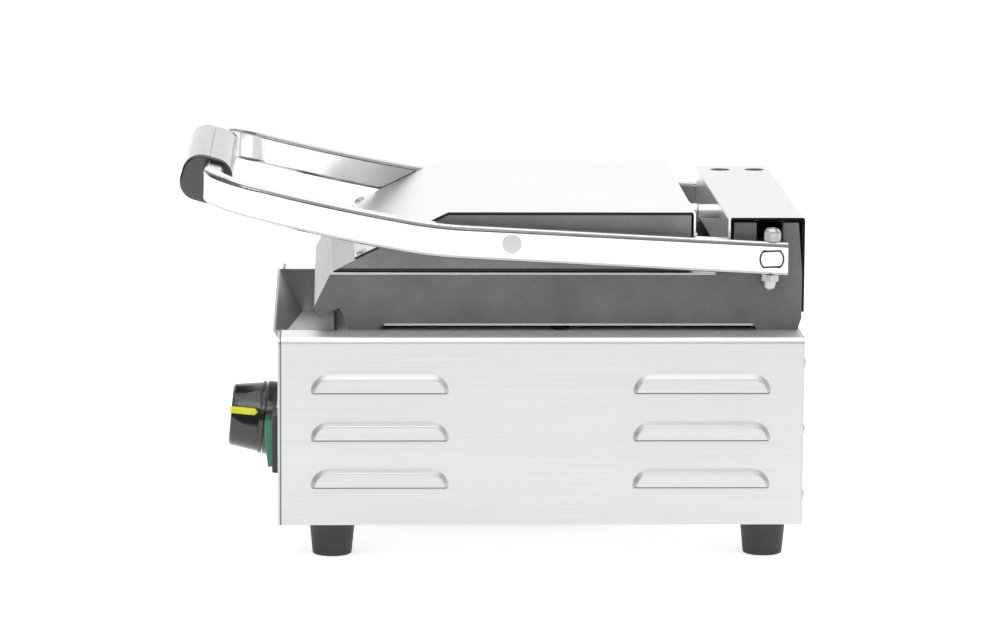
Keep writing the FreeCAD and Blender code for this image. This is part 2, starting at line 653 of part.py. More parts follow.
def lower_plate():
    """Ribbed casting with an overhanging front lip, feet, and two hinge towers at the back."""
    plate = doc.addObject("PartDesign::Body", "LowerCasting")
    profile = sketch_on(plate, "LowerProfile", "YZ_Plane")
    outline(profile, [
        (back(D.rim_front), D.cook_level), (back(D.lip_tip), D.lip_tip_level),
        (back(D.lip_toe), D.lip_toe_level), (back(D.lip_root), D.lip_root_level),
        (back(D.front_foot_top), D.front_foot_top_level), (back(D.front_foot_front), D.base_top),
        (back(D.front_foot_rear), D.base_top), (back(D.front_foot_rear), D.skirt_level),
        (back(D.rear_foot_front), D.skirt_level), (back(D.rear_foot_front) + 2, D.base_top),
        (back(D.rear_foot_rear), D.base_top), (back(D.casting_rear), D.lip_toe_level),
        (back(D.casting_rear), D.shelf_level), (back(D.cook_rear), D.shelf_level),
        (back(D.cook_rear), D.cook_level),
    ])
    pad(plate, profile, 2 * D.plate_half, "Symmetric")
    tower = sketch_on(plate, "HingeTower", "YZ_Plane", D.tower_inner)
    slot = D.bush_radius
    outline(tower, [
        (back(D.cook_rear), D.shelf_level - 1), (back(D.casting_rear), D.shelf_level - 1),
        (back(D.casting_rear), D.cook_level), (back(D.tower_rear_top), D.tower_top),
        (back(D.hinge_depth) + slot, D.tower_top), (back(D.hinge_depth) + slot, D.hinge_level),
        (back(D.hinge_depth) - slot, D.hinge_level), (back(D.hinge_depth) - slot, D.tower_top),
        (back(D.tower_front), D.tower_top), (back(D.tower_front) - 1, D.cook_level),
        (back(D.cook_rear), D.cook_level),
    ])
    tower_pad = pad(plate, tower, D.plate_half - D.tower_inner)
    seat = sketch_on(plate, "HingeSeat", "YZ_Plane", D.tower_inner)
    circle(seat, (back(D.hinge_depth), D.hinge_level), D.bush_radius)
    seat_pocket = pocket(plate, seat, D.plate_half - D.tower_inner, flip=True)
    mirrored(plate, "SecondTower", [tower_pad, seat_pocket])
    fillet(plate, "LipRounding", 1.6,
           lambda spot, way: abs(way.x) > 0.9 and spot.y < back(D.lip_root) - 1 and spot.z < D.cook_level - 5)
    recess = sketch_on(plate, "LowerRecess", "XY_Plane", D.base_top)
    rectangle(recess, (-D.casting_recess_half, back(D.casting_recess_front)),
              (D.casting_recess_half, back(D.casting_recess_rear)))
    pocket(plate, recess, D.casting_recess_level - D.base_top, flip=True)
    fillet(plate, "RecessCorners", 6,
           lambda spot, way: abs(way.z) > 0.9 and abs(spot.x) > D.casting_recess_half - 1
           and back(60) < spot.y < back(262) and spot.z < D.casting_recess_level)
    cooking_grooves(plate, "LowerGroove", D.cook_level, 1)
    fillet(plate, "CastEdges", 1.0,
           lambda spot, way: abs(spot.x) > D.plate_half - 0.01 and spot.z > D.cook_level - 0.01
           and back(28) < spot.y < back(D.cook_rear))
    bolt_holes = sketch_on(plate, "FixingHoles", "XY_Plane", D.base_top)
    for side, depth in plate_bolt_spots():
        circle(bolt_holes, (side, depth), 3.1)
    pocket(plate, bolt_holes, 12, flip=True)
    rear_holes = sketch_on(plate, "CapScrewBores", "XZ_Plane", -back(D.casting_rear))
    for side in cap_screw_sides():
        circle(rear_holes, (side, D.cap_screw_level), 2.0)
    pocket(plate, rear_holes, 10, flip=True)
    stud_holes = sketch_on(plate, "SideStudHoles", "XY_Plane", D.skirt_level)
    for side in (-1, 1):
        circle(stud_holes, (side * (D.plate_half - 6), back(168.5)), 2.0)
    pocket(plate, stud_holes, 6, flip=True)
    node("lower_plate", plate)
    set_screws = []
    for number, reach in enumerate((-D.cap_hole_reach, D.cap_hole_reach)):
        at = (-D.cap_hole_side, back(D.hinge_depth) + reach, D.tower_top)
        screw = rod(f"SetScrew{number}", 2.0, at, 1.0)
        socket = hexagon(f"SetSocket{number}", 1.1, at, 2.0)
        set_screws.append(cut(f"SetScrewCut{number}", screw, [socket]))
    node("bearing_set_screws", fuse("SetScrews", set_screws))


def plate_bolt_spots():
    for depth in (52.0, 298.0):
        for side in (-92, 92):
            yield side, back(depth)


def lower_plate_fixings():
    """Bolts up into the casting's feet, and a stud under the middle of each side."""
    bolts = []
    for number, (side, depth) in enumerate(plate_bolt_spots()):
        under = D.base_top - D.sheet_gauge
        shank = rod(f"PlateBolt{number}", 3.0, (side, depth, under - 1), 12)
        head = hexagon(f"PlateBoltHead{number}", D.nut_radius, (side, depth, under - 4), 4)
        bolts.append(fuse(f"PlateBoltWhole{number}", [shank, head]))
    node("lower_plate_bolts", fuse("PlateBolts", bolts))
    studs = []
    for side in (-1, 1):
        at = (side * (D.plate_half - 6), back(168.5), D.base_top)
        washer = cone(f"StudDish{side + 1}", 3.4, 6.6, at, 1.2)
        shank = rod(f"StudShank{side + 1}", 1.9, at, 7)
        studs.append(fuse(f"Stud{side + 1}", [washer, shank]))
    node("side_studs", fuse("SideStuds", studs))


# ---------------------------------------------------------------- heating elements

def swept_tube(points, radius, bend):
    """A round tube along straight runs joined by tangent arcs."""
    spots = [Vector(*point) for point in points]
    edges = []
    start = spots[0]
    for before, corner, after in zip(spots, spots[1:], spots[2:]):
        inward = (before - corner).normalize()
        onward = (after - corner).normalize()
        half_turn = (math.pi - inward.getAngle(onward)) / 2
        reach = bend * math.tan(half_turn)
        arc_start = corner + inward * reach
        arc_end = corner + onward * reach
        middle_way = (inward + onward).normalize()
        arc_middle = corner + middle_way * (bend / math.cos(half_turn) - bend)
        if (arc_start - start).Length > 1e-6:
            edges.append(Part.LineSegment(start, arc_start).toShape())
        edges.append(Part.Arc(arc_start, arc_middle, arc_end).toShape())
        start = arc_end
    edges.append(Part.LineSegment(start, spots[-1]).toShape())
    way = (spots[1] - spots[0]).normalize()
    section = Part.Wire([Part.Circle(spots[0], way, float(radius)).toShape()])
    return Part.Wire(edges).makePipeShell([section], True, False)


def element(label, level, run_front, run_rear):
    """A tubular heater in four runs, its cold ends at the back."""
    step = D.element_run
    bend = D.element_run - 0.1
    front, rear = back(run_front), back(run_rear)
    points = [
        (-3 * step, rear + 10, level), (-3 * step, front, level), (-step, front, level),
        (-step, rear, level), (step, rear, level), (step, front, level),
        (3 * step, front, level), (3 * step, rear + 10, level),
    ]
    node(label, raw_shape(f"{label}Tube", swept_tube(points, D.element_radius, bend)))


def clamp_set(prefix, seat_level, way, box_low, box_high):
    """A clamp plate across a heater, with the studs and nuts that pull it up; way points to the nuts."""
    plate = box(f"{prefix}ClampSheet", box_low, box_high)
    holes = []
    sets = []
    for number, (column, depth) in enumerate((c, d) for c in (-1, 1) for d in (D.stud_front, D.stud_rear)):
        side = column * D.stud_column
        spot = back(depth)
        holes.append(rod(f"{prefix}ClampHole{number}", D.stud_radius + 0.2, (side, spot, box_low[2] - 1), 5))
        low = seat_level if way > 0 else seat_level - 15.0
        stud = rod(f"{prefix}Stud{number}", D.stud_radius, (side, spot, low), 15.0)
        nut_low = box_high[2] if way > 0 else box_low[2] - D.nut_height
        nut = hexagon(f"{prefix}Nut{number}", D.nut_radius, (side, spot, nut_low), D.nut_height)
        sets.append(fuse(f"{prefix}StudNut{number}", [stud, nut]))
    node(f"{prefix}_element_clamp", cut(f"{prefix}ClampPlate", plate, holes))
    node(f"{prefix}_clamp_studs", fuse(f"{prefix}ClampStuds", sets))


def lower_heating():
    """Heater, clamp and heat shield in the recess under the lower plate."""
    seat = D.casting_recess_level
    element("lower_element", seat - D.element_radius, D.element_front, D.element_rear)
    top = seat - 2 * D.element_radius
    clamp_low = (-D.clamp_half, back(96), top - D.clamp_gauge)
    clamp_set("lower", seat, -1, clamp_low, (D.clamp_half, back(240), top))
    shield = box("ShieldSheet", (-D.clamp_half, back(90), D.skirt_level),
                 (D.clamp_half, back(248), D.skirt_level + 0.8))
    node("lower_heat_shield", shield)


# ---------------------------------------------------------------- thermostat and dial

def tip_to_dial(obj, height):
    """Stand a plain solid on the dial's axis, which leans back from the front panel."""
    obj.Placement = Placement(Vector(), Rotation(Vector(1, 0, 0), 90))
    obj.setExpression("Placement.Rotation.Angle", formula_of(90 - D.dial_tilt))
    lean = math.radians(D.dial_tilt)
    place(obj, (D.dial_side, D.base_front - height * math.cos(lean), D.dial_level + height * math.sin(lean)))
    return obj


def dial_rod(name, radius, height, length):
    """A round solid on the dial's axis, starting at a height above the panel."""
    obj = doc.addObject("Part::Cylinder", name)
    bind(obj, Radius=radius, Height=length)
    return tip_to_dial(obj, height)


def dial():
    """Bezel ring, knob with a flat for its pointer, the pointer, and the spindle it turns."""
    ring_base = D.dial_seat
    ring = dial_rod("BezelRing", D.bezel_radius, ring_base, D.bezel_height)
    eased = rounded("BezelEased", ring, 0.8, lambda spot, way: spot.y < D.base_front - 6)
    shoulder_height = D.bezel_height - 1 + D.dial_gap - 0.1
    shoulder = dial_rod("BezelShoulder", D.dial_radius - 0.6, ring_base + 1, shoulder_height)
    whole = fuse("BezelWhole", [eased, shoulder])
    node("dial_bezel", cut("BezelBored", whole, [dial_rod("BezelBore", 7.0, ring_base - 1, 12.0)]))

    body = doc.addObject("PartDesign::Body", "KnobBody")
    base = D.dial_seat + D.bezel_height + D.dial_gap
    section = sketch_on(body, "KnobSection", "XZ_Plane")
    outline(section, [
        (0, base), (D.skirt_radius, base), (D.skirt_radius, base + D.skirt_height),
        (D.dial_radius, base + D.skirt_height), (D.dial_front_radius, D.dial_front), (0, D.dial_front),
    ])
    revolve(body, section)
    fillet(body, "KnobFrontRound", D.dial_round,
           lambda spot, way: spot.z > D.dial_front - 0.01 and spot.Length > D.dial_front)
    bore = sketch_on(body, "KnobBore", "XY_Plane", base)
    circle(bore, (0, 0), D.spindle_radius)
    pocket(body, bore, D.dial_front - base - 5, flip=True)
    flat = sketch_on(body, "PointerFlat", "YZ_Plane", D.dial_flat)
    rectangle(flat, (-D.dial_flat_half, base + D.skirt_height + 0.6),
              (D.dial_flat_half, D.dial_front - D.dial_flat_border))
    pocket(body, flat, 10, flip=True)
    node("dial_knob", tip_knob(body))

    strip = doc.addObject("PartDesign::Body", "PointerStrip")
    plan = sketch_on(strip, "PointerOutline", "YZ_Plane", D.dial_flat - 0.4)
    tail = base + D.skirt_height + 2.0
    outline(plan, [(-2.0, D.dial_front + 0.7), (-2.0, tail + 1.6), (0, tail), (2.0, tail + 1.6),
                   (2.0, D.dial_front + 0.7)])
    pad(strip, plan, 1.3)
    node("dial_pointer", cut("PointerFitted", tip_knob(strip), [NODES["dial_knob"]]))

    node("thermostat_spindle", dial_rod("Spindle", D.spindle_radius, -12.0, D.dial_front - 5 + 12.0))


def tip_knob(body):
    """Stand a body drawn upright on the origin on the dial's axis, its flat turned up a little."""
    lean = Rotation(Vector(1, 0, 0), 90 - float(D.dial_tilt))
    body.Placement = Placement(Vector(), lean * Rotation(Vector(0, 0, 1), float(D.dial_turn)))
    place(body, (D.dial_side, D.base_front, D.dial_level))
    return body


def thermostat():
    """Capillary thermostat behind the dial, with its bulb under the lower plate."""
    case = doc.addObject("Part::Box", "ThermostatCase")
    bind(case, Length=38, Width=38, Height=28)
    tip_box(case, 19, 19, -36)
    neck = dial_rod("ThermostatNeck", 5.0, -9.0, 9.0 + D.dial_seat - 0.3)
    bore = dial_rod("ThermostatBore", D.spindle_radius + D.fit_clearance, -14.0, 20.0)
    node("thermostat_body", cut("ThermostatBored", fuse("ThermostatWhole", [case, neck]), [bore]))
    bulb_level = D.casting_recess_level - 4.0
    bulb = rod("BulbTube", 3.0, (0, back(D.element_front) - 4, bulb_level), 80, "Y")
    capillary = swept_tube([
        (0, back(D.element_front) - 2, bulb_level), (0, back(78), bulb_level), (0, back(78), 112),
        (D.dial_side, back(58), 96), (D.dial_side, back(37.8), 84),
    ], 0.8, 6)
    node("thermostat_bulb", fuse("BulbWhole", [bulb, raw_shape("Capillary", capillary)]))


def tip_box(obj, half_length, half_width, height):
    """Stand a box, centred across the dial's axis, at a height above the panel."""
    lean = math.radians(D.dial_tilt)
    turn = Rotation(Vector(1, 0, 0), 90 - float(D.dial_tilt))
    corner = turn.multVec(Vector(-half_length, -half_width, float(height)))
    obj.Placement = Placement(Vector(), turn)
    place(obj, (D.dial_side + corner.x, D.base_front + corner.y, D.dial_level + corner.z))
    return obj


# ---------------------------------------------------------------- rocker switch

def rocker_switch():
    """Housing with a raised bezel, and the rocker tipped in it with its upper end out."""
    side, level = D.switch_side, D.switch_level
    face = D.base_front
    wide, tall = D.switch_half_width, D.switch_half_height
    bezel = box("SwitchBezel", (side - wide, face - D.switch_bezel, level - tall),
                (side + wide, face, level + tall))
    eased = rounded("SwitchEased", bezel, 1.2, lambda spot, way: spot.y < face - D.switch_bezel + 0.01)
    wide, tall = D.rocker_half_width + 1.2, D.rocker_half_height + 0.8
    block = box("SwitchBlock", (side - wide, face - 0.2, level - tall),
                (side + wide, face + 22, level + tall))
    wide, tall = D.rocker_half_width + 0.3, D.rocker_half_height + 0.4
    well = box("SwitchWell", (side - wide, face - D.switch_bezel - 1, level - tall),
               (side + wide, face + 9, level + tall))
    tabs = []
    for number, drop in enumerate((-9, 0, 9)):
        tab_low = (side - 3, face + 22, level + drop - 0.4)
        tabs.append(box(f"SwitchTab{number}", tab_low, (side + 3, face + 30, level + drop + 0.4)))
    node("switch_housing", cut("SwitchHollow", fuse("SwitchWhole", [eased, block] + tabs), [well]))

    rocker = doc.addObject("PartDesign::Body", "RockerBody")
    profile = sketch_on(rocker, "RockerProfile", "YZ_Plane")
    half = D.rocker_half_height
    outline(profile, [(-D.rocker_tip, half - 0.4), (-D.rocker_ridge, 0), (-D.rocker_tip, 0.4 - half),
                      (1.5, 0.8 - half), (6, 3 - half), (6, half - 3), (1.5, half - 0.8)])
    pad(rocker, profile, 2 * D.rocker_half_width, "Symmetric")
    fillet(rocker, "RockerRound", 0.7, lambda spot, way: spot.y < -0.1)
    rocker.Placement = Placement(Vector(), Rotation(Vector(1, 0, 0), float(D.rocker_tilt)))
    place(rocker, (side, face - D.switch_bezel + 0.6, level))
    node("rocker", rocker)


# ---------------------------------------------------------------- mains connection

def mains_connection():
    """Low strain-relief bushing in the rear panel, its lock nut, and the terminal block."""
    outside = back(D.base_depth)
    flange = rod("GlandFlange", D.gland_flange, (D.gland_side, outside, D.gland_level), D.gland_proud, "Y")
    eased = rounded("GlandEased", flange, 1.0, lambda spot, way: spot.y > outside + D.gland_proud - 0.01)
    neck = rod("GlandNeck", D.gland_neck - 0.1, (D.gland_side, outside - 12, D.gland_level), 12, "Y")
    bore = rod("GlandBore", D.gland_bore, (D.gland_side, outside - 13, D.gland_level), 20, "Y")
    node("cable_bushing", cut("GlandBored", fuse("GlandWhole", [eased, neck]), [bore]))
    nut_at = (D.gland_side, outside - D.sheet_gauge - 4, D.gland_level)
    nut = hexagon("GlandNut", D.gland_flange, nut_at, 4, "Y")
    nut_bore = rod("GlandNutBore", D.gland_neck - 0.1, (D.gland_side, outside - 10, D.gland_level), 12, "Y")
    node("bushing_nut", cut("GlandNutBored", nut, [nut_bore]))
    floor = D.base_floor + D.sheet_gauge
    block = box("TerminalBox", (20, back(262), floor), (70, back(284), floor + 16))
    ways = []
    for number in range(3):
        side = 28 + number * 17
        ways.append(rod(f"TerminalWay{number}", 3.0, (side, back(261), floor + 8), 24, "Y"))
        ways.append(rod(f"TerminalScrewHole{number}", 2.4, (side, back(267), floor + 9), 8))
    node("terminal_block", cut("TerminalBored", block, ways))


# ---------------------------------------------------------------- hinge cap, bushes, springs

def hinge_cap():
    """Folded cap over the hinge, open at both ends, its rear wall screwed to the casting."""
    cap = doc.addObject("PartDesign::Body", "CapSheet")
    section = sketch_on(cap, "CapSection", "YZ_Plane")
    front, rear, gauge = back(D.cap_front), back(D.cap_rear), D.cap_gauge
    outline(section, [
        (front, D.cap_front_level), (front, D.cap_top), (rear, D.cap_top), (rear, D.cap_rear_level),
        (rear - gauge, D.cap_rear_level), (rear - gauge, D.cap_top - gauge),
        (front + gauge, D.cap_top - gauge), (front + gauge, D.cap_front_level),
    ])
    pad(cap, section, 2 * D.plate_half, "Symmetric")
    fillet(cap, "CapFolds", 1.5, lambda spot, way: abs(way.x) > 0.9 and spot.z > D.cap_top - 0.01)
    tools = []
    for number, reach in enumerate((-D.cap_hole_reach, D.cap_hole_reach)):
        at = (-D.cap_hole_side, back(D.hinge_depth) + reach, D.cap_top - 3)
        tools.append(rod(f"CapHole{number}", D.cap_hole_radius, at, 6))
    at = (D.conduit_side, front - 1, D.conduit_level)
    tools.append(rod("CapConduitHole", D.conduit_radius + 0.05, at, 4, "Y"))
    screws = []
    for number, side in enumerate(cap_screw_sides()):
        sink = (side, rear - gauge, D.cap_screw_level)
        tools.append(cone(f"CapSink{number}", 2.0, 3.6, sink, gauge, "Y"))
        head = cone(f"CapScrewHead{number}", 1.95, 3.5, sink, gauge - 0.02, "Y")
        shank = rod(f"CapScrewShank{number}", 1.9, (side, rear - gauge - 8, D.cap_screw_level), 8.5, "Y")
        screws.append(fuse(f"CapScrew{number}", [head, shank]))
        tools.append(rod(f"CapScrewHole{number}", 2.0, (side, rear - gauge - 3, D.cap_screw_level), 4, "Y"))
    node("hinge_cap", cut("CapPierced", cap, tools))
    node("cap_screws", fuse("CapScrews", screws))


def cap_screw_sides():
    return (-110, 0, 110)


def hinge_bushes():
    for side, name in ((-1, "left"), (1, "right")):
        start = D.tower_inner + 2 if side > 0 else -(D.tower_inner + 2 + D.bush_length)
        at = (start, back(D.hinge_depth), D.hinge_level)
        shell = rod(f"BushShell{name}", D.bush_radius, at, D.bush_length, "X")
        bore = rod(f"BushBore{name}", D.shaft_radius + D.fit_clearance,
                   (start - 1, back(D.hinge_depth), D.hinge_level), D.bush_length + 2, "X")
        node(f"hinge_bush_{name}", cut(f"BushRing{name}", shell, [bore]))


def torsion_springs():
    """Counterbalance coils round the shaft, each with a tail resting on the casting's shelf."""
    for side, name in ((-1, "left"), (1, "right")):
        length = D.spring_pitch * D.spring_turns
        helix = Part.makeHelix(float(D.spring_pitch), float(length), float(D.spring_radius))
        section = Part.Wire([Part.Circle(Vector(float(D.spring_radius), 0, 0), Vector(0, 1, 0),
                                         float(D.spring_wire)).toShape()])
        coil = Part.Wire(helix.Edges).makePipeShell([section], True, True)
        tail = Part.makeCylinder(float(D.spring_wire), 20, Vector(float(D.spring_radius), 0, 0),
                                 Vector(0.42, -0.9, 0))
        spring = raw_shape(f"Spring{name}", coil.fuse(tail))
        spring.Placement = Placement(Vector(), Rotation(Vector(0, 1, 0), 90))
        start = D.spring_start if side > 0 else -(D.spring_start + length)
        place(spring, (start, back(D.hinge_depth), D.hinge_level))
        node(f"torsion_spring_{name}", spring)


def conduit():
    """Short conduit for the upper heater's leads, from the cap towards the upper plate."""
    at = (D.conduit_side, back(D.conduit_front), D.conduit_level)
    tube = rod("ConduitTube", D.conduit_radius, at, D.conduit_rear - D.conduit_front, "Y")
    bore = rod("ConduitBore", D.conduit_radius - 0.9, at, D.conduit_rear - D.conduit_front, "Y")
    node("lead_conduit", cut("ConduitHollow", tube, [bore]))


# ---------------------------------------------------------------- handle

def arm_band():
    """Side view of the bar: straight from the hinge, a short bend, then a long sweep to the grip."""
    pitch = math.radians(D.arm_pitch)
    bent = math.radians(D.arm_bend_pitch)
    half = D.arm_height / 2
    hinge = Vector(0, back(D.hinge_depth), D.hinge_level + D.arm_rise)
    way, up = arm_frame_way()
    rear = hinge - way * (back(D.arm_rear) + 4 - hinge.y)
    bend = hinge + way * ((hinge.y - back(D.arm_bend_start)) / math.cos(pitch))
    bend_centre = bend + up * float(D.arm_bend_radius)
    bent_up = Vector(0, math.sin(bent), math.cos(bent))
    sweep_centre = bend_centre + bent_up * (D.arm_sweep_radius - D.arm_bend_radius)
    tip_angle = math.asin((sweep_centre.y - back(D.arm_front) + 14) / D.arm_sweep_radius)

    def on_arc(centre, angle, radius):
        return centre - Vector(0, math.sin(angle), math.cos(angle)) * radius

    def arc(centre, start, end, radius):
        middle = on_arc(centre, (start + end) / 2, radius)
        return Part.Arc(on_arc(centre, start, radius), middle, on_arc(centre, end, radius)).toShape()

    edges = []
    tips = []
    for offset in (half, -half):
        bend_radius = D.arm_bend_radius - offset
        sweep_radius = D.arm_sweep_radius - offset
        straight_end = on_arc(bend_centre, pitch, bend_radius)
        edges.append(Part.LineSegment(rear + up * offset, straight_end).toShape())
        edges.append(arc(bend_centre, pitch, bent, bend_radius))
        edges.append(arc(sweep_centre, bent, tip_angle, sweep_radius))
        tips.append(on_arc(sweep_centre, tip_angle, sweep_radius))
    edges.append(Part.LineSegment(*tips).toShape())
    edges.append(Part.LineSegment(rear + up * half, rear - up * half).toShape())
    return Part.Face(Part.Wire(Part.sortEdges(edges)[0]))


def handle_plan():
    """Plan view of the bar: two arms turning in to meet inside the grip."""
    outer = float(D.arm_inner + D.arm_thickness)
    inner = float(D.arm_inner)
    front = float(back(D.arm_front))
    rear = float(back(D.arm_rear))
    corner = float(D.arm_corner)
    thick = float(D.arm_thickness)
    diagonal = math.sqrt(0.5)

    def side_edges(limit, face, radius, side):
        centre = Vector(side * (limit - radius), face + radius, 0)
        turn_start = centre + Vector(side * radius, 0, 0)
        turn_middle = centre + Vector(side * radius * diagonal, -radius * diagonal, 0)
        turn_end = centre + Vector(0, -radius, 0)
        rear_end = Vector(side * limit, rear, 0)
        return rear_end, turn_start, turn_middle, turn_end

    edges = []
    ends = []
    for limit, face, radius in ((outer, front, corner), (inner, front + thick, corner - thick)):
        left = side_edges(limit, face, radius, -1)
        right = side_edges(limit, face, radius, 1)
        edges.append(Part.LineSegment(left[0], left[1]).toShape())
        edges.append(Part.Arc(left[1], left[2], left[3]).toShape())
        edges.append(Part.LineSegment(left[3], right[3]).toShape())
        edges.append(Part.Arc(right[3], right[2], right[1]).toShape())
        edges.append(Part.LineSegment(right[1], right[0]).toShape())
        ends.append((left[0], right[0]))
    edges.append(Part.LineSegment(ends[0][0], ends[1][0]).toShape())
    edges.append(Part.LineSegment(ends[0][1], ends[1][1]).toShape())
    return Part.Face(Part.Wire(Part.sortEdges(edges)[0]))


def handle_frame():
    """The bent bar: its side view and its plan view extruded through each other, edges rounded."""
    outer = float(D.arm_inner + D.arm_thickness)
    side_solid = arm_band().extrude(Vector(2 * outer + 2, 0, 0))
    side_solid.translate(Vector(-outer - 1, 0, 0))
    plan_solid = handle_plan().extrude(Vector(0, 0, 200))
    plan_solid.translate(Vector(0, 0, 120))
    bar = side_solid.common(plan_solid)
    bar = bar.Solids[0]
    long_edges = [edge for edge in bar.Edges
                  if edge.Length > 13 and abs(edge.tangentAt(edge.FirstParameter).z) < 0.8]
    rounded_bar = bar.makeFillet(float(D.arm_edge_radius), long_edges)
    return raw_shape("HandleBar", rounded_bar)


def arm_frame_way():
    """Unit vectors along the straight part of the arm, forwards, and square to it, upwards."""
    pitch = math.radians(D.arm_pitch)
    return Vector(0, -math.cos(pitch), math.sin(pitch)), Vector(0, math.sin(pitch), math.cos(pitch))


def tip_to_arm(obj, side, along, height):
    """Stand a plain solid square to the arm, at a place along it from the hinge."""
    way, up = arm_frame_way()
    obj.Placement = Placement(Vector(), Rotation(Vector(1, 0, 0), float(-D.arm_pitch)))
    spot = way * float(along) + up * float(height)
    place(obj, (side, back(D.hinge_depth) + spot.y, D.hinge_level + spot.z))
    return obj


def flatted_shaft(name, radius, flat):
    """A shaft right across the machine with a flat above and below at each end."""
    outer = D.arm_inner + D.arm_thickness
    shaft = rod(f"{name}Round", radius, (-outer, back(D.hinge_depth), D.hinge_level), 2 * outer, "X")
    tools = []
    for side in (-1, 1):
        for height in (-1, 1):
            flat_box = doc.addObject("Part::Box", f"{name}Flat{side + 1}{height + 1}")
            bind(flat_box, Length=D.arm_thickness + 2, Width=30, Height=10)
            start = D.arm_inner - 1.5 if side > 0 else -(outer + 0.5)
            low = flat if height > 0 else -(flat + 10)
            tip_to_arm(flat_box, start, 15, low)
            tools.append(flat_box)
    return cut(f"{name}Flatted", shaft, tools)


def handle():
    """Bar, shaft, clamp screws with nuts, and the pins that carry the upper plate."""
    bar = handle_frame()
    shaft_hole = flatted_shaft("ShaftHole", D.shaft_radius + D.shaft_ring, D.shaft_flat + D.shaft_ring)
    middle = D.arm_inner + D.arm_thickness / 2
    bolts, nuts, holes, pins, washers = [], [], [shaft_hole], [], []
    shaft_holes = []
    top = D.arm_rise + D.arm_height / 2
    under = D.arm_rise - D.arm_height / 2
    for side, name in ((-1, "left"), (1, "right")):
        spot = side * middle
        bolt, nut = clamp_pair(name, spot, top, under)
        bolts.append(bolt)
        nuts.append(nut)
        holes.append(tip_to_arm(plain_rod(f"ClampHole{name}", 3.1, D.arm_height + 2), spot, 0, under - 1))
        shaft_holes.append(tip_to_arm(plain_rod(f"ShaftCross{name}", 3.1, 20), spot, 0, -10))

        inner = side * (D.plate_half - D.pivot_reach)
        outer = side * (D.arm_inner + D.arm_thickness)
        start = inner if side > 0 else outer
        at = (start, back(D.pivot_depth), D.pivot_level)
        pin_length = D.arm_thickness + D.arm_inner - D.plate_half + D.pivot_reach
        pin = rod(f"Pin{name}", D.pivot_radius, at, pin_length, "X")
        head_start = D.arm_inner + 2 if side > 0 else -(D.arm_inner + D.arm_thickness + 0.6)
        head_at = (head_start, back(D.pivot_depth), D.pivot_level)
        pin_head = rod(f"PinHead{name}", D.pivot_head_radius, head_at, D.arm_thickness - 1.4, "X")
        outer_face = D.arm_inner + D.arm_thickness + 0.6
        pin_head = rounded(f"PinHeadEased{name}", pin_head, 0.5,
                           lambda spot_, way, f=outer_face: abs(spot_.x) > f - 0.01)
        pins.append(node(f"pivot_pin_{name}", fuse(f"PinWhole{name}", [pin, pin_head])))
        washer_start = D.plate_half + 0.2 if side > 0 else -(D.arm_inner - 0.2)
        washer_at = (washer_start, back(D.pivot_depth), D.pivot_level)
        washer = rod(f"Washer{name}", D.washer_radius, washer_at, D.arm_inner - D.plate_half - 0.4, "X")
        washer_bore = rod(f"WasherBore{name}", D.pivot_radius + 0.1, washer_at, 5, "X")
        washers.append(cut(f"WasherRing{name}", washer, [washer_bore]))
    node("handle_frame", cut("HandleDrilled", bar, holes + pins))
    shaft = flatted_shaft("Shaft", D.shaft_radius, D.shaft_flat)
    node("hinge_shaft", cut("ShaftDrilled", shaft, shaft_holes))
    node("clamp_screws", fuse("ClampBolts", bolts))
    node("clamp_nuts", fuse("ClampNuts", nuts))
    node("pivot_washers", fuse("PivotWashers", washers))
    collars = []
    for side in (-1, 1):
        start = D.spring_start - 8.8 if side > 0 else -(D.spring_start - 1.8)
        ring = rod(f"Collar{side + 1}", 11.0, (start, back(D.hinge_depth), D.hinge_level), 7, "X")
        hole_at = (start - 1, back(D.hinge_depth), D.hinge_level)
        hole = rod(f"CollarBore{side + 1}", D.shaft_radius, hole_at, 9, "X")
        collars.append(cut(f"CollarRing{side + 1}", ring, [hole]))
    node("spring_collars", fuse("SpringCollars", collars))


def clamp_pair(name, spot, top, under):
    """A socket-head screw down through the arm and shaft, and the collared lock nut under it."""
    drop = 9.6
    shank = plain_rod(f"Clamp{name}", 3.0, top - under + drop)
    shank = tip_to_arm(shank, spot, 0, under - drop)
    shank = rounded(f"ClampTip{name}", shank, 1.0, lambda place_, way: place_.z < D.hinge_level + under - 6)
    head = tip_to_arm(plain_rod(f"ClampHead{name}", 5.1, 7.6), spot, 0, top)
    head = rounded(f"ClampHeadEased{name}", head, 1.0, lambda place_, way: place_.z > D.hinge_level)
    socket = tip_to_arm(plain_hexagon(f"ClampSocket{name}", 2.9, 5), spot, 0, top + 4)
    bolt = cut(f"ClampBolt{name}", fuse(f"ClampWhole{name}", [shank, head]), [socket])
    hexagon_part = tip_to_arm(plain_hexagon(f"ClampNut{name}", D.nut_radius, 3.9), spot, 0, under - 3.9)
    collar = doc.addObject("Part::Cone", f"ClampCollar{name}")
    bind(collar, Radius1=3.7, Radius2=4.7, Height=4.2)
    tip_to_arm(collar, spot, 0, under - 8.0)
    nut_bore = tip_to_arm(plain_rod(f"ClampNutBore{name}", 3.0, 12), spot, 0, under - 10)
    nut = cut(f"ClampNutBored{name}", fuse(f"ClampNutWhole{name}", [hexagon_part, collar]), [nut_bore])
    return bolt, nut


def plain_hexagon(name, radius, length):
    obj = doc.addObject("Part::Prism", name)
    obj.Polygon = 6
    bind(obj, Circumradius=radius, Height=length)
    return obj


def plain_rod(name, radius, length):
    obj = doc.addObject("Part::Cylinder", name)
    bind(obj, Radius=radius, Height=length)
    return obj


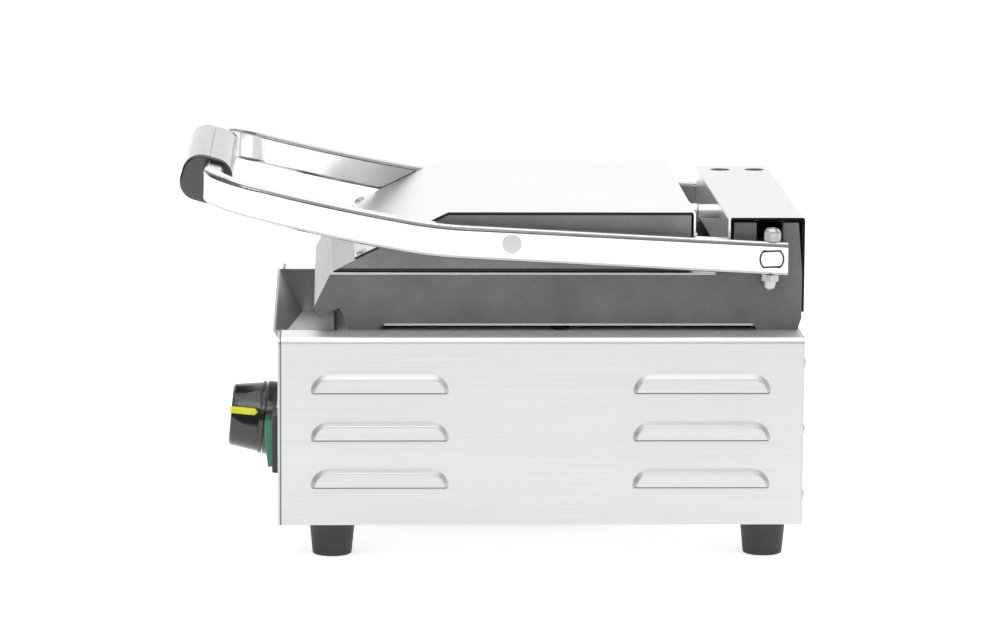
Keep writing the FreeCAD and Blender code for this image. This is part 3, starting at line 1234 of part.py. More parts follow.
def grip():
    """Front and rear shells of the grip, parted along the bar that runs through it."""
    blank = doc.addObject("Part::Box", "GripBlank")
    bind(blank, Length=2 * D.grip_half, Width=D.grip_width, Height=D.grip_height)
    lean = math.radians(D.grip_tilt)
    turn = Rotation(Vector(1, 0, 0), float(-D.grip_tilt))
    corner = turn.multVec(Vector(0, -D.grip_width / 2, -D.grip_height / 2))
    blank.Placement = Placement(Vector(), turn)
    place(blank, (-D.grip_half, back(D.grip_depth) + corner.y, D.grip_level + corner.z))
    barrel = rounded("GripBarrel", blank, D.grip_round, lambda spot, way: abs(way.x) > 0.9)
    eased = rounded("GripEased", barrel, D.grip_edge, lambda spot, way: abs(spot.x) > D.grip_half - 0.01)
    low, high = D.grip_level - 25, D.grip_level + 25
    middle, parting = back(D.grip_depth), back(D.grip_parting)
    screws, holes, bar_holes = [], [], []
    for number, side in enumerate((-52, 0, 52)):
        at = (side, middle + 12.6, D.grip_screw_level)
        screw = rod(f"GripScrewShank{number}", 1.9, (side, parting - 8, D.grip_screw_level),
                    middle + 12.6 - parting + 8, "Y")
        head = rod(f"GripScrewHead{number}", 3.4, at, 1.6, "Y")
        screws.append(fuse(f"GripScrew{number}", [screw, head]))
        holes.append(rod(f"GripScrewBore{number}", 2.0, (side, parting - 9, D.grip_screw_level), 30, "Y"))
        holes.append(rod(f"GripScrewSink{number}", 3.5, at, 10, "Y"))
        bar_holes.append(rod(f"BarBore{number}", 2.0, (side, parting - 9, D.grip_screw_level), 30, "Y"))
    node("handle_frame", cut("HandleFinished", NODES["handle_frame"], bar_holes))
    node("grip_screws", fuse("GripScrews", screws))
    halves = (("grip_front", middle - 30, parting - 0.1), ("grip_rear", parting + 0.1, middle + 30))
    for label, front, rear in halves:
        keep = box(f"{label}Keep", (-D.grip_half - 1, front, low), (D.grip_half + 1, rear, high))
        half_shell = common(f"{label}Half", eased, keep)
        node(label, cut(f"{label}Shell", half_shell, [NODES["handle_frame"]] + holes))


# ---------------------------------------------------------------- upper plate

def upper_plate():
    """Ribbed casting with a sloping brow, hollow on top for the heater."""
    plate = doc.addObject("PartDesign::Body", "UpperCasting")
    face = D.cook_level + D.plate_gap
    sunk = D.cover_gauge + D.cover_seat
    profile = sketch_on(plate, "UpperProfile", "YZ_Plane")
    outline(profile, [
        (back(D.upper_front), face), (back(D.upper_brow) - 0.2, D.upper_brow_level - sunk + 0.1),
        (back(D.cover_fold) + D.cover_shift, D.cover_top - sunk), (back(D.upper_rear), D.cover_top - sunk),
        (back(D.upper_rear), face),
    ])
    pad(plate, profile, 2 * D.plate_half, "Symmetric")
    recess = sketch_on(plate, "UpperRecess", "XY_Plane", D.upper_recess_level)
    rectangle(recess, (-D.casting_recess_half, back(D.upper_recess_front)),
              (D.casting_recess_half, back(D.upper_recess_rear)))
    pocket(plate, recess, 40, flip=True)
    fillet(plate, "UpperRecessCorners", 6,
           lambda spot, way: abs(way.z) > 0.9 and abs(spot.x) < D.plate_half - 1)
    cooking_grooves(plate, "UpperGroove", face, -1)
    sides = sketch_on(plate, "PivotBore", "YZ_Plane")
    circle(sides, (back(D.pivot_depth), D.pivot_level), D.pivot_radius + D.fit_clearance)
    pocket(plate, sides, 2 * D.plate_half + 4, "Symmetric")
    holes = sketch_on(plate, "CoverScrewHoles", "XY_Plane", D.cover_top)
    for side in cover_screw_sides():
        circle(holes, (side, back(D.cover_screw_depth)), 2.0)
    pocket(plate, holes, 36)
    rear_holes = sketch_on(plate, "FlangeScrewHoles", "XZ_Plane", -back(D.upper_rear))
    for side in cover_screw_sides():
        circle(rear_holes, (side, D.flange_screw_level), 2.0)
    pocket(plate, rear_holes, 9, flip=True)
    node("upper_plate", plate)


def cover_screw_sides():
    return (-117.5, 117.5)


def cover_level(depth):
    """Height of the cover's outer face above a depth on its front slope."""
    rise = (D.cover_top - D.upper_brow_level) / (D.cover_fold - D.upper_brow)
    return D.upper_brow_level + (depth - back(D.upper_brow)) * rise


def upper_cover():
    """Folded cover: front slope, flat top and a short rear flange."""
    cover = doc.addObject("PartDesign::Body", "CoverSheet")
    section = sketch_on(cover, "CoverSection", "YZ_Plane")
    gauge = D.cover_gauge
    outline(section, [
        (back(D.upper_brow), D.upper_brow_level), (back(D.cover_fold), D.cover_top),
        (back(D.cover_rear), D.cover_top), (back(D.cover_rear), D.cover_flange_level),
        (back(D.cover_rear) - gauge, D.cover_flange_level), (back(D.cover_rear) - gauge, D.cover_top - gauge),
        (back(D.cover_fold) + D.cover_shift, D.cover_top - gauge),
        (back(D.upper_brow) + gauge / 2, D.upper_brow_level - gauge * 0.9),
    ])
    pad(cover, section, 2 * D.plate_half, "Symmetric")
    fillet(cover, "CoverFolds", 1.1,
           lambda spot, way: abs(way.x) > 0.9 and spot.z > D.cover_top - 0.01)
    holes = sketch_on(cover, "CoverHoles", "XY_Plane", D.cover_top)
    for side in cover_screw_sides():
        circle(holes, (side, back(D.cover_screw_depth)), 2.1)
    pocket(cover, holes, 40)
    rear_holes = sketch_on(cover, "FlangeHoles", "XZ_Plane", -back(D.cover_rear))
    for side in cover_screw_sides():
        circle(rear_holes, (side, D.flange_screw_level), 2.1)
    pocket(cover, rear_holes, 2 * gauge, flip=True)
    node("upper_cover", cover)
    screws = []
    slope = math.degrees(math.atan2(D.cover_top - D.upper_brow_level, D.cover_fold - D.upper_brow))
    depth = back(D.cover_screw_depth)
    level = cover_level(depth)
    for number, side in enumerate(cover_screw_sides()):
        head = doc.addObject("Part::Sphere", f"CoverDome{number}")
        bind(head, Radius=4.2)
        place(head, (side, depth, level - 2.2))
        slab = doc.addObject("Part::Box", f"CoverDomeKeep{number}")
        bind(slab, Length=10, Width=10, Height=8)
        slab.Placement = Placement(Vector(), Rotation(Vector(1, 0, 0), slope))
        corner = slab.Placement.Rotation.multVec(Vector(-5, -5, 0))
        place(slab, (side - 5, depth + corner.y, level + corner.z))
        shank = rod(f"CoverShank{number}", 1.9, (side, depth, level - 8), 8.8)
        screws.append(fuse(f"CoverScrew{number}", [common(f"CoverCap{number}", head, slab), shank]))
        screws.append(pan_screw(f"Flange{number}", (side, back(D.cover_rear), D.flange_screw_level), 9))
    node("cover_screws", fuse("CoverScrews", screws))


def upper_heating():
    seat = D.upper_recess_level
    element("upper_element", seat + D.element_radius, 128.0, 210.0)
    top = seat + 2 * D.element_radius
    clamp_high = (D.clamp_half, back(232), top + D.clamp_gauge)
    clamp_set("upper", seat, 1, (-D.clamp_half, back(110), top), clamp_high)
    blanket_low = top + D.clamp_gauge + D.nut_height + 0.6
    blanket = box("Blanket", (-D.clamp_half, back(108), blanket_low),
                  (D.clamp_half, back(234), D.cover_top - D.cover_gauge - 0.6))
    node("upper_insulation", blanket)


# ---------------------------------------------------------------- build, check and write

casing_wrap()
base_panels()
feet()
casing_screws()
drip_tray()
lower_plate()
lower_plate_fixings()
lower_heating()
dial()
thermostat()
rocker_switch()
mains_connection()
hinge_cap()
hinge_bushes()
torsion_springs()
conduit()
handle()
grip()
upper_plate()
upper_cover()
upper_heating()
doc.recompute()

for obj in doc.Objects:
    if "Invalid" in obj.State or "Error" in obj.State:
        raise ValueError(f"{obj.Name} ({obj.Label}) failed: {obj.State}")
os.makedirs("parts", exist_ok=True)
for label, obj in NODES.items():
    shape = obj.Shape
    if shape.isNull() or not shape.isValid() or not shape.Solids:
        raise ValueError(f"{label} has no valid shape")
    shape.exportStep(f"parts/{label}.step")
    print(f"{label:24s} solids {len(shape.Solids):2d}  volume {shape.Volume / 1000:9.2f} cm3")
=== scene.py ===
import math

import bmesh
import bpy
from mathutils import Matrix, Vector


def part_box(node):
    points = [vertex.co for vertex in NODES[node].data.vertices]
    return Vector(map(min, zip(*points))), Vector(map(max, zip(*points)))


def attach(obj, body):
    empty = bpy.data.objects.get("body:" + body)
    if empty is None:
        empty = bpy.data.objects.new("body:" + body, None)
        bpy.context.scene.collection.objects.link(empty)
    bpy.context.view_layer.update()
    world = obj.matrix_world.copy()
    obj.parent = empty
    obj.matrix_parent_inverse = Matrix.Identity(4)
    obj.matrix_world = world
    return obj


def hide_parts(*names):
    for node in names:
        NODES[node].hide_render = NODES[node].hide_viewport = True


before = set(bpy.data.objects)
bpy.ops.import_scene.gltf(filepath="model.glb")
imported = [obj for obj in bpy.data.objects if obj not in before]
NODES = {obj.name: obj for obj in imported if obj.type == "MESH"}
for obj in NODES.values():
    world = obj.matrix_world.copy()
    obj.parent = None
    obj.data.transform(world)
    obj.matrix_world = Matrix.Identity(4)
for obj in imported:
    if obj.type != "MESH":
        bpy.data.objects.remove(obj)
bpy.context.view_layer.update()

SHEET_GAUGE = 0.0012
cad_casing_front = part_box("casing_wrap")[0].y - SHEET_GAUGE  # the front panel's outer face
HINGE = Vector((0, cad_casing_front + 0.2937, 0.180))
DIAL_CENTRE = Vector((0.082, cad_casing_front, 0.0738))
ARM_PITCH = math.radians(3.0)
DIAL_LEAN = math.radians(5.5)
DIAL_TURN = math.radians(18.0)
WORLD_NEAR, WORLD_FAR, WORLD_DARK = 0.60, 1.08, 0.10  # brightness of the world light
LOUVRE_STARTS = (0.0195, 0.2110)
LOUVRE_LENGTH = 0.0810
LOUVRE_LEVELS = (0.1021, 0.0736, 0.0451)
FLOOR_REACH = 30.0
FLOOR_GLOW = 0.55


# ---------------------------------------------------------------- materials

class Shader:
    """A Principled material and short ways to add texture nodes to it."""

    def __init__(self, name, colour, metallic=0.0, rough=0.5, **sockets):
        self.material = bpy.data.materials.new(name)
        self.material.use_nodes = True
        self.tree = self.material.node_tree
        self.tree.nodes.clear()
        self.out = self.tree.nodes.new("ShaderNodeOutputMaterial")
        self.bsdf = self.tree.nodes.new("ShaderNodeBsdfPrincipled")
        self.link(self.bsdf.outputs[0], self.out.inputs[0])
        self.colour = (*colour, 1.0)
        self.bsdf.inputs["Base Color"].default_value = self.colour
        self.bsdf.inputs["Metallic"].default_value = metallic
        self.bsdf.inputs["Roughness"].default_value = rough
        for socket, value in sockets.items():
            self.bsdf.inputs[socket.replace("_", " ")].default_value = value
        places = self.tree.nodes.new("ShaderNodeTexCoord")
        self.place = places.outputs["Object"]
        self.normal = places.outputs["Normal"]

    def link(self, source, target):
        self.tree.links.new(source, target)

    def noise(self, scale, stretch=(1, 1, 1), detail=3.0, rough=0.6):
        """Noise in metres; stretch over one makes it finer along that axis."""
        mapping = self.tree.nodes.new("ShaderNodeMapping")
        mapping.inputs["Scale"].default_value = stretch
        self.link(self.place, mapping.inputs["Vector"])
        texture = self.tree.nodes.new("ShaderNodeTexNoise")
        texture.inputs["Scale"].default_value = scale
        texture.inputs["Detail"].default_value = detail
        texture.inputs["Roughness"].default_value = rough
        self.link(mapping.outputs[0], texture.inputs["Vector"])
        return texture.outputs["Fac"]

    def ramp(self, value, low, high, start=0.3, end=0.7):
        """A value between low and high as the input goes from start to end."""
        node = self.tree.nodes.new("ShaderNodeMapRange")
        self.link(value, node.inputs[0])
        for index, number in enumerate((start, end, low, high), start=1):
            node.inputs[index].default_value = number
        return node.outputs[0]

    def tint(self, factor, colour_a, colour_b):
        """Mix of two colours by a factor; each is a colour or a node's output."""
        node = self.tree.nodes.new("ShaderNodeMix")
        node.data_type = "RGBA"
        for index, item in ((0, factor), (6, colour_a), (7, colour_b)):
            if isinstance(item, bpy.types.NodeSocket):
                self.link(item, node.inputs[index])
            else:
                node.inputs[index].default_value = (*item, 1.0) if len(item) == 3 else item
        return node.outputs[2]

    def set(self, socket, value):
        """Drive a shader socket from a node's output."""
        self.link(value, self.bsdf.inputs[socket])

    def bump(self, value, height, strength=1.0):
        node = self.tree.nodes.new("ShaderNodeBump")
        node.inputs["Strength"].default_value = strength
        node.inputs["Distance"].default_value = height
        self.link(value, node.inputs["Height"])
        previous = self.bsdf.inputs["Normal"]
        if previous.is_linked:
            self.link(previous.links[0].from_socket, node.inputs["Normal"])
        self.link(node.outputs[0], previous)

    def band(self, axis, low, high, soft=0.0002):
        """1 where the object coordinate is between low and high, else 0."""
        split = self.tree.nodes.new("ShaderNodeSeparateXYZ")
        self.link(self.place, split.inputs[0])
        value = split.outputs["XYZ".index(axis)]
        rise = self.ramp(value, 0.0, 1.0, low - soft, low + soft)
        fall = self.ramp(value, 1.0, 0.0, high - soft, high + soft)
        return self.times(rise, fall)

    def facing(self, axis, start, end):
        """0 to 1 as the surface's own normal goes from start to end along an axis."""
        split = self.tree.nodes.new("ShaderNodeSeparateXYZ")
        self.link(self.normal, split.inputs[0])
        return self.ramp(split.outputs["XYZ".index(axis)], 0.0, 1.0, start, end)

    def paint_cut_edge_shade(self, half, front, rear, shade):
        """Paint shade on the sheet's cut edges at plus and minus half along X, between two places along Y: a
        painted shadow gap.
        """
        split = self.tree.nodes.new("ShaderNodeSeparateXYZ")
        self.link(self.place, split.inputs[0])
        reach = self.times(split.outputs["X"], 0.0, "ABSOLUTE")
        edge = self.ramp(reach, 0.0, 1.0, half - 0.0007, half - 0.0003)
        self.skin = self.tint(self.times(edge, self.band("Y", front, rear)), self.skin, shade)
        self.set("Base Color", self.skin)

    def times(self, first, second, operation="MULTIPLY"):
        node = self.tree.nodes.new("ShaderNodeMath")
        node.operation = operation
        for index, item in enumerate((first, second)):
            if isinstance(item, bpy.types.NodeSocket):
                self.link(item, node.inputs[index])
            else:
                node.inputs[index].default_value = item
        return node.outputs[0]


def scaled(colour, factor):
    return tuple(channel * factor for channel in colour)


def brushed(name, colour, rough, stretch, depth=0.000012):
    """Steel with fine parallel scratches; stretch is small along the scratches."""
    shader = Shader(name, colour, 1.0, rough)
    fine = shader.noise(900, stretch, 2.0)
    broad = shader.noise(60, stretch, 2.0)
    shader.skin = shader.tint(shader.ramp(fine, 0, 1), scaled(colour, 0.97), scaled(colour, 1.03))
    shader.set("Base Color", shader.skin)
    shader.set("Roughness", shader.ramp(broad, rough * 0.92, rough * 1.08))
    shader.bump(fine, depth)
    return shader


def polished(name, colour, rough):
    """Bright bar or tube: fine haze and faint handling marks."""
    shader = Shader(name, colour, 1.0, rough)
    haze = shader.noise(45, (1, 1, 1), 4.0)
    shader.set("Roughness", shader.ramp(haze, rough * 0.7, rough * 1.5))
    grain = shader.noise(1600, (1, 0.04, 1), 2.0)
    shader.bump(grain, 0.000006)
    return shader


def cast(name, colour, rough, grain_scale, grain_depth):
    """Sand-cast iron with a dark seasoned skin."""
    shader = Shader(name, colour, 0.25, rough, Specular_IOR_Level=0.45)
    cloud = shader.noise(35, detail=5.0)
    grain = shader.noise(grain_scale, detail=3.0)
    tone = shader.times(shader.ramp(cloud, 0.0, 1.0), shader.ramp(grain, 0.35, 1.0))
    shader.skin = shader.tint(tone, scaled(colour, 0.8), scaled(colour, 1.3))
    shader.set("Base Color", shader.skin)
    shader.set("Roughness", shader.ramp(grain, rough * 0.85, min(1.0, rough * 1.15)))
    shader.bump(grain, grain_depth)
    return shader


def moulded(name, colour, rough, grain_depth=0.00001, **sockets):
    """Moulded plastic or rubber with a faint grain."""
    shader = Shader(name, colour, 0.0, rough, **sockets)
    cloud = shader.noise(80, detail=4.0)
    grain = shader.noise(1500, detail=2.0)
    shader.set("Base Color", shader.tint(shader.ramp(cloud, 0, 1), scaled(colour, 0.85), scaled(colour, 1.2)))
    shader.set("Roughness", shader.ramp(cloud, rough * 0.85, min(1.0, rough * 1.2)))
    shader.bump(grain, grain_depth)
    return shader


side_steel = brushed("side_steel", (0.68, 0.68, 0.685), 0.46, (1, 0.012, 1), 0.000004)
front_steel = brushed("front_steel", (0.60, 0.60, 0.61), 0.38, (0.02, 1, 1), 0.000003)
cap_steel = brushed("cap_steel", (0.80, 0.80, 0.81), 0.34, (0.02, 1, 1), 0.000001)
cover_steel = brushed("cover_steel", (0.87, 0.87, 0.875), 0.30, (1, 0.02, 1), 0.000001)
tray_steel = brushed("tray_steel", (0.46, 0.46, 0.465), 0.40, (0.03, 1, 1), 0.000004)
plated = brushed("plated_sheet", (0.62, 0.63, 0.65), 0.42, (1, 1, 1), 0.000004)
bar_steel = polished("polished_bar", (0.83, 0.83, 0.84), 0.13)
fastener = polished("fastener", (0.46, 0.46, 0.465), 0.26)
pin_steel = polished("pin_steel", (0.64, 0.64, 0.645), 0.42)
conduit_steel = polished("conduit_steel", (0.88, 0.88, 0.885), 0.50)
dark_steel = moulded("dark_steel", (0.016, 0.016, 0.017), 0.5)
lower_cast = cast("lower_cast", (0.135, 0.135, 0.137), 0.50, 1400, 0.00004)
upper_cast = cast("upper_cast", (0.20, 0.20, 0.205), 0.48, 620, 0.00022)
gloss_black = moulded("gloss_black", (0.018, 0.018, 0.019), 0.14, 0.000002,
                      Coat_Weight=0.4, Coat_Roughness=0.08)
grip_black = moulded("grip_black", (0.022, 0.022, 0.023), 0.20, 0.000004,
                     Coat_Weight=0.8, Coat_Roughness=0.12)
satin_black = moulded("satin_black", (0.026, 0.026, 0.028), 0.34)
rubber = moulded("rubber", (0.028, 0.028, 0.03), 0.55, 0.00003)
green = moulded("rocker_green", (0.002, 0.17, 0.08), 0.14, 0.000003, Subsurface_Weight=0.1)
yellow = moulded("pointer_yellow", (0.84, 0.80, 0.04), 0.35, 0.000003)
ceramic = moulded("terminal_body", (0.72, 0.70, 0.64), 0.5)
sheath = polished("heater_sheath", (0.28, 0.25, 0.22), 0.45)
bronze = polished("bush_bronze", (0.50, 0.33, 0.14), 0.35)
copper = polished("bulb_metal", (0.66, 0.44, 0.33), 0.3)
wool = moulded("blanket", (0.78, 0.76, 0.70), 0.95, 0.0004)


def ground_fronts(shader, start, end):
    """The faces that look forwards are ground bright, with upright grinding marks."""
    front = shader.facing("Y", start, end)
    marks = shader.noise(700, (1, 1, 0.03), 2.0)
    ground = shader.tint(shader.ramp(marks, 0, 1), (0.50, 0.50, 0.50), (0.66, 0.66, 0.66))
    shader.skin = shader.tint(front, shader.skin, ground)
    return front


# The edge of the cooking faces and the casting's lower edge carry painted highlights; its front faces are
# painted bright.
front = ground_fronts(lower_cast, -0.55, -0.75)
# Painted highlight bands: the rim of the cooking faces and the lower edge of the casting.
rim_highlight = lower_cast.times(lower_cast.band("Z", 0.1685, 0.1710), lower_cast.band("Y", -0.0970, 0.1340))
edge = lower_cast.times(lower_cast.band("Z", 0.1370, 0.1389), lower_cast.band("Y", -0.0640, 0.1570))
elsewhere = lower_cast.ramp(front, 1.0, 0.0, 0.0, 1.0)
bright = lower_cast.times(lower_cast.times(rim_highlight, edge, "MAXIMUM"), elsewhere)
lower_cast.set("Base Color", lower_cast.tint(bright, lower_cast.skin, (0.62, 0.62, 0.63)))
lower_cast.set("Metallic", lower_cast.ramp(lower_cast.times(bright, front, "MAXIMUM"), 0.25, 1.0, 0.0, 1.0))

# The meeting edge of the upper casting is painted dark: a painted shadow of the gap between the castings.
front = ground_fronts(upper_cast, -0.30, -0.42)
painted_gap_shadow = upper_cast.times(upper_cast.band("Z", 0.1700, 0.1722), upper_cast.ramp(front, 1.0, 0.0, 0.0, 1.0))
upper_cast.set("Base Color", upper_cast.tint(painted_gap_shadow, upper_cast.skin, (0.012, 0.012, 0.012)))
upper_cast.set("Metallic", upper_cast.ramp(front, 0.25, 1.0, 0.0, 1.0))

# Painted light and shade on the sides: a painted dark line of shade just behind the front panel, a painted
# shadow under each louvre and a painted highlight strip at the top.
front_shade_line = side_steel.band("Y", cad_casing_front + 0.0012, cad_casing_front + 0.0021, 0.0003)
louvre_fronts = [cad_casing_front + start for start in LOUVRE_STARTS]
columns = [side_steel.band("Y", front + 0.0010, front + LOUVRE_LENGTH, 0.0010) for front in louvre_fronts]
rows = [side_steel.band("Z", level - 0.0011, level + 0.0001, 0.0002) for level in LOUVRE_LEVELS]
any_column = side_steel.times(columns[0], columns[1], "MAXIMUM")
any_row = side_steel.times(side_steel.times(rows[0], rows[1], "MAXIMUM"), rows[2], "MAXIMUM")
louvre_shadows = side_steel.times(any_column, any_row)
# Painted shade: the dark line behind the front panel and the shadows under the louvres.
marks = side_steel.times(front_shade_line, louvre_shadows, "MAXIMUM")
top_highlight = side_steel.band("Z", 0.1336, 0.1360, 0.0006)
lit_skin = side_steel.tint(top_highlight, side_steel.skin, (0.97, 0.97, 0.97))
side_steel.set("Base Color", side_steel.tint(marks, lit_skin, (0.14, 0.14, 0.14)))
cover_low, cover_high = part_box("upper_cover")
cap_low, cap_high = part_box("hinge_cap")
# Painted shade: dark cut edges on the cover and the cap stand for the shadow gaps around them.
cover_steel.paint_cut_edge_shade(cover_high.x, cover_low.y - 0.01, cover_high.y - 0.0016, (0.03, 0.03, 0.03))
cap_steel.paint_cut_edge_shade(cap_high.x, cap_low.y + 0.0016, cap_high.y + 0.01, (0.012, 0.012, 0.012))

# Painted dark lines along the bar's rounded edges, where the photograph shows dark reflections.
upper_line = bar_steel.times(bar_steel.facing("Z", 0.22, 0.40), bar_steel.facing("Z", 0.82, 0.66))
lower_line = bar_steel.times(bar_steel.facing("Z", -0.16, -0.30), bar_steel.facing("Z", -0.72, -0.56))
lines = bar_steel.times(upper_line, bar_steel.times(lower_line, 0.6), "MAXIMUM")
bar_steel.set("Base Color", bar_steel.tint(lines, (0.84, 0.84, 0.845), (0.20, 0.20, 0.205)))


LOOKS = {
    side_steel: ["casing_wrap"],
    front_steel: ["front_panel", "rear_panel"],
    cap_steel: ["hinge_cap"],
    cover_steel: ["upper_cover"],
    tray_steel: ["drip_tray"],
    plated: ["bottom_plate", "tray_runner_left", "tray_runner_right", "lower_element_clamp",
             "upper_element_clamp", "lower_heat_shield"],
    bar_steel: ["handle_frame", "hinge_shaft"],
    conduit_steel: ["lead_conduit"],
    pin_steel: ["pivot_pin_left", "pivot_pin_right"],
    fastener: ["clamp_screws", "clamp_nuts", "foot_screws", "casing_screws", "cap_screws", "cover_screws",
               "lower_plate_bolts", "lower_clamp_studs", "upper_clamp_studs", "pivot_washers",
               "thermostat_spindle"],
    dark_steel: ["bearing_set_screws", "side_studs", "grip_screws", "spring_collars",
                 "torsion_spring_left", "torsion_spring_right"],
    lower_cast: ["lower_plate"],
    upper_cast: ["upper_plate"],
    gloss_black: ["dial_knob", "dial_bezel"],
    grip_black: ["grip_front", "grip_rear"],
    satin_black: ["switch_housing", "cable_bushing", "bushing_nut"],
    rubber: ["foot_front_left", "foot_front_right", "foot_rear_left", "foot_rear_right"],
    green: ["rocker"],
    yellow: ["dial_pointer"],
    ceramic: ["terminal_block", "thermostat_body"],
    sheath: ["lower_element", "upper_element"],
    bronze: ["hinge_bush_left", "hinge_bush_right"],
    copper: ["thermostat_bulb"],
    wool: ["upper_insulation"],
}
for shader, names in LOOKS.items():
    for name in names:
        node = NODES[name]
        node.data.materials.clear()
        node.data.materials.append(shader.material)

# Fine bevels on the CAD parts catch light as the folded, cast and moulded edges do.
BEVELS = {
    0.0005: ["front_panel", "rear_panel", "hinge_cap", "upper_cover", "hinge_shaft", "clamp_nuts", "rocker",
             "switch_housing", "dial_pointer", "drip_tray"],
    0.0009: ["lower_plate", "upper_plate", "grip_front", "grip_rear"],
}
for width, names in BEVELS.items():
    for name in names:
        edge_round = NODES[name].modifiers.new("edge_round", "BEVEL")
        edge_round.width = width
        edge_round.segments = 2
        edge_round.limit_method = "ANGLE"
        edge_round.angle_limit = math.radians(40)
        edge_round.harden_normals = False

# ---------------------------------------------------------------- pieces built here


def new_piece(name, mesh_data, shader, body, smooth=True):
    """An object from a bmesh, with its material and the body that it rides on."""
    mesh = bpy.data.meshes.new(name)
    mesh_data.normal_update()
    mesh_data.to_mesh(mesh)
    mesh_data.free()
    for face in mesh.polygons:
        face.use_smooth = smooth
    piece = bpy.data.objects.new(name, mesh)
    bpy.context.scene.collection.objects.link(piece)
    mesh.materials.append(shader.material)
    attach(piece, body)
    return piece


def lathe(rings, segments, reshape=None):
    """A closed turned form along local Z from (radius, height) rings; reshape moves each point."""
    mesh = bmesh.new()
    loops = []
    for number, (radius, height) in enumerate(rings):
        loop = []
        for step in range(segments):
            angle = 2 * math.pi * step / segments
            spot = Vector((radius * math.cos(angle), radius * math.sin(angle), height))
            loop.append(mesh.verts.new(reshape(spot, number, step) if reshape else spot))
        loops.append(loop)
    for low, high in zip(loops, loops[1:]):
        for step in range(segments):
            after = (step + 1) % segments
            mesh.faces.new((low[step], low[after], high[after], high[step]))
    mesh.faces.new(list(reversed(loops[0])))
    mesh.faces.new(loops[-1])
    return mesh


def stand(mesh, turn, at):
    """The bmesh turned and moved to its place."""
    bmesh.ops.transform(mesh, matrix=Matrix.Translation(at) @ turn.to_4x4(), verts=mesh.verts)
    return mesh


def dial_frame():
    """Rotation and origin of the dial's axis, which leans back from the front panel."""
    turn = Matrix.Rotation(math.pi / 2 - DIAL_LEAN, 3, "X") @ Matrix.Rotation(DIAL_TURN, 3, "Z")
    return turn, DIAL_CENTRE


def knob():
    """Turned knob with a crowned flat for the pointer let into its side."""
    base, skirt_top, front = 0.00895, 0.01135, 0.0293
    body_radius, front_radius = 0.0212, 0.0185
    taper = (body_radius - front_radius) / (front - skirt_top)
    rings = [(0.0040, base), (0.0217, base), (0.0222, base + 0.0005), (0.0222, skirt_top - 0.0005),
             (0.0219, skirt_top), (body_radius, skirt_top + 0.0001)]
    flat_low, flat_high = skirt_top + 0.0007, front - 0.0023
    for height in (skirt_top + 0.0004, flat_low, flat_low + 0.0004):
        rings.append((body_radius - taper * (height - skirt_top), height))
    for step in range(1, 8):
        height = flat_low + 0.0004 + (flat_high - flat_low - 0.0008) * step / 7
        rings.append((body_radius - taper * (height - skirt_top), height))
    for height in (flat_high, flat_high + 0.0003):
        rings.append((body_radius - taper * (height - skirt_top), height))
    for step in range(1, 8):
        angle = math.pi / 2 * step / 7
        rings.append((0.0188 - 0.0022 * (1 - math.cos(angle)), front - 0.0020 + 0.0020 * math.sin(angle)))
    rings.append((0.0100, front - 0.0003))
    rings.append((0.0030, front - 0.0004))
    crown = 0.036

    def let_in(spot, number, step):
        if flat_low + 0.0002 < spot.z < flat_high - 0.0002 and spot.x > 0:
            limit = 0.0186 - crown + math.sqrt(crown ** 2 - spot.y ** 2)
            spot.x = min(spot.x, limit)
        return spot

    turned = stand(lathe(rings, 160, let_in), *dial_frame())
    piece = new_piece("dial_knob_moulded", turned, gloss_black, "dial")
    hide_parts("dial_knob")
    crease = piece.modifiers.new("crease", "EDGE_SPLIT")
    crease.split_angle = math.radians(32)


def clamp_screws():
    """Knurled socket heads and the shanks that run down through the arms."""
    box_low, box_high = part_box("clamp_screws")
    turn = Matrix.Rotation(-ARM_PITCH, 3, "X")
    shank_radius, head_radius, head_height = 0.0029, 0.0051, 0.0076
    head_top = (box_high.z - HINGE.z) / math.cos(ARM_PITCH) - 0.0003
    seat = head_top - head_height
    tip = (box_low.z - HINGE.z) / math.cos(ARM_PITCH) + 0.0002
    rings = [(0.0019, tip), (shank_radius, tip + 0.0011), (shank_radius, seat), (0.0047, seat + 0.0001),
             (head_radius, seat + 0.0007)]
    rings += [(head_radius, seat + 0.0007 + 0.0046 * step / 4) for step in range(1, 5)]
    rings += [(0.0049, seat + 0.0062), (0.0042, head_top - 0.0006), (0.0036, head_top), (0.0029, head_top)]
    rings += [(0.0026, head_top - 0.0004), (0.0026, head_top - 0.0034), (0.0004, head_top - 0.0038)]

    def knurl(spot, number, step):
        if 4 <= number <= 8 and step % 2:
            spot.x *= 0.955
            spot.y *= 0.955
        return spot

    for side, name in ((-1, "left"), (1, "right")):
        at = Vector((side * 0.132, HINGE.y, HINGE.z))
        piece = new_piece(f"clamp_screw_{name}", stand(lathe(rings, 72, knurl), turn, at), fastener, "handle",
                          smooth=False)
        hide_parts("clamp_screws")


def cover_screws():
    """Domed heads with a cross recess: two on the front slope and two on the rear flange."""
    rings = [(0.0033, -0.0010), (0.0035, 0.0), (0.0034, 0.0006), (0.0030, 0.0011), (0.0024, 0.0015),
             (0.0017, 0.00175), (0.0010, 0.0019), (0.0004, 0.0019)]

    def cross(spot, number, step):
        reach = math.hypot(spot.x, spot.y)
        if number >= 4 and reach < 0.0026 and min(abs(spot.x), abs(spot.y)) < 0.00045:
            spot.z -= 0.0009
        return spot

    slope = math.atan2(0.206 - 0.1786, 0.1014 - 0.0456)
    front_level = 0.1786 + (0.0500 - 0.0456) * math.tan(slope)
    places = [("front", Matrix.Rotation(slope, 3, "X"), 0.0500, front_level),
              ("rear", Matrix.Rotation(-math.pi / 2, 3, "X"), 0.2493, 0.190)]
    for end, turn, depth, level in places:
        for side, name in ((-1, "left"), (1, "right")):
            at = Vector((side * 0.1175, cad_casing_front + depth, level))
            piece = new_piece(f"cover_screw_{end}_{name}", stand(lathe(rings, 48, cross), turn, at), fastener,
                              "upper_plate", smooth=False)
            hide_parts("cover_screws")


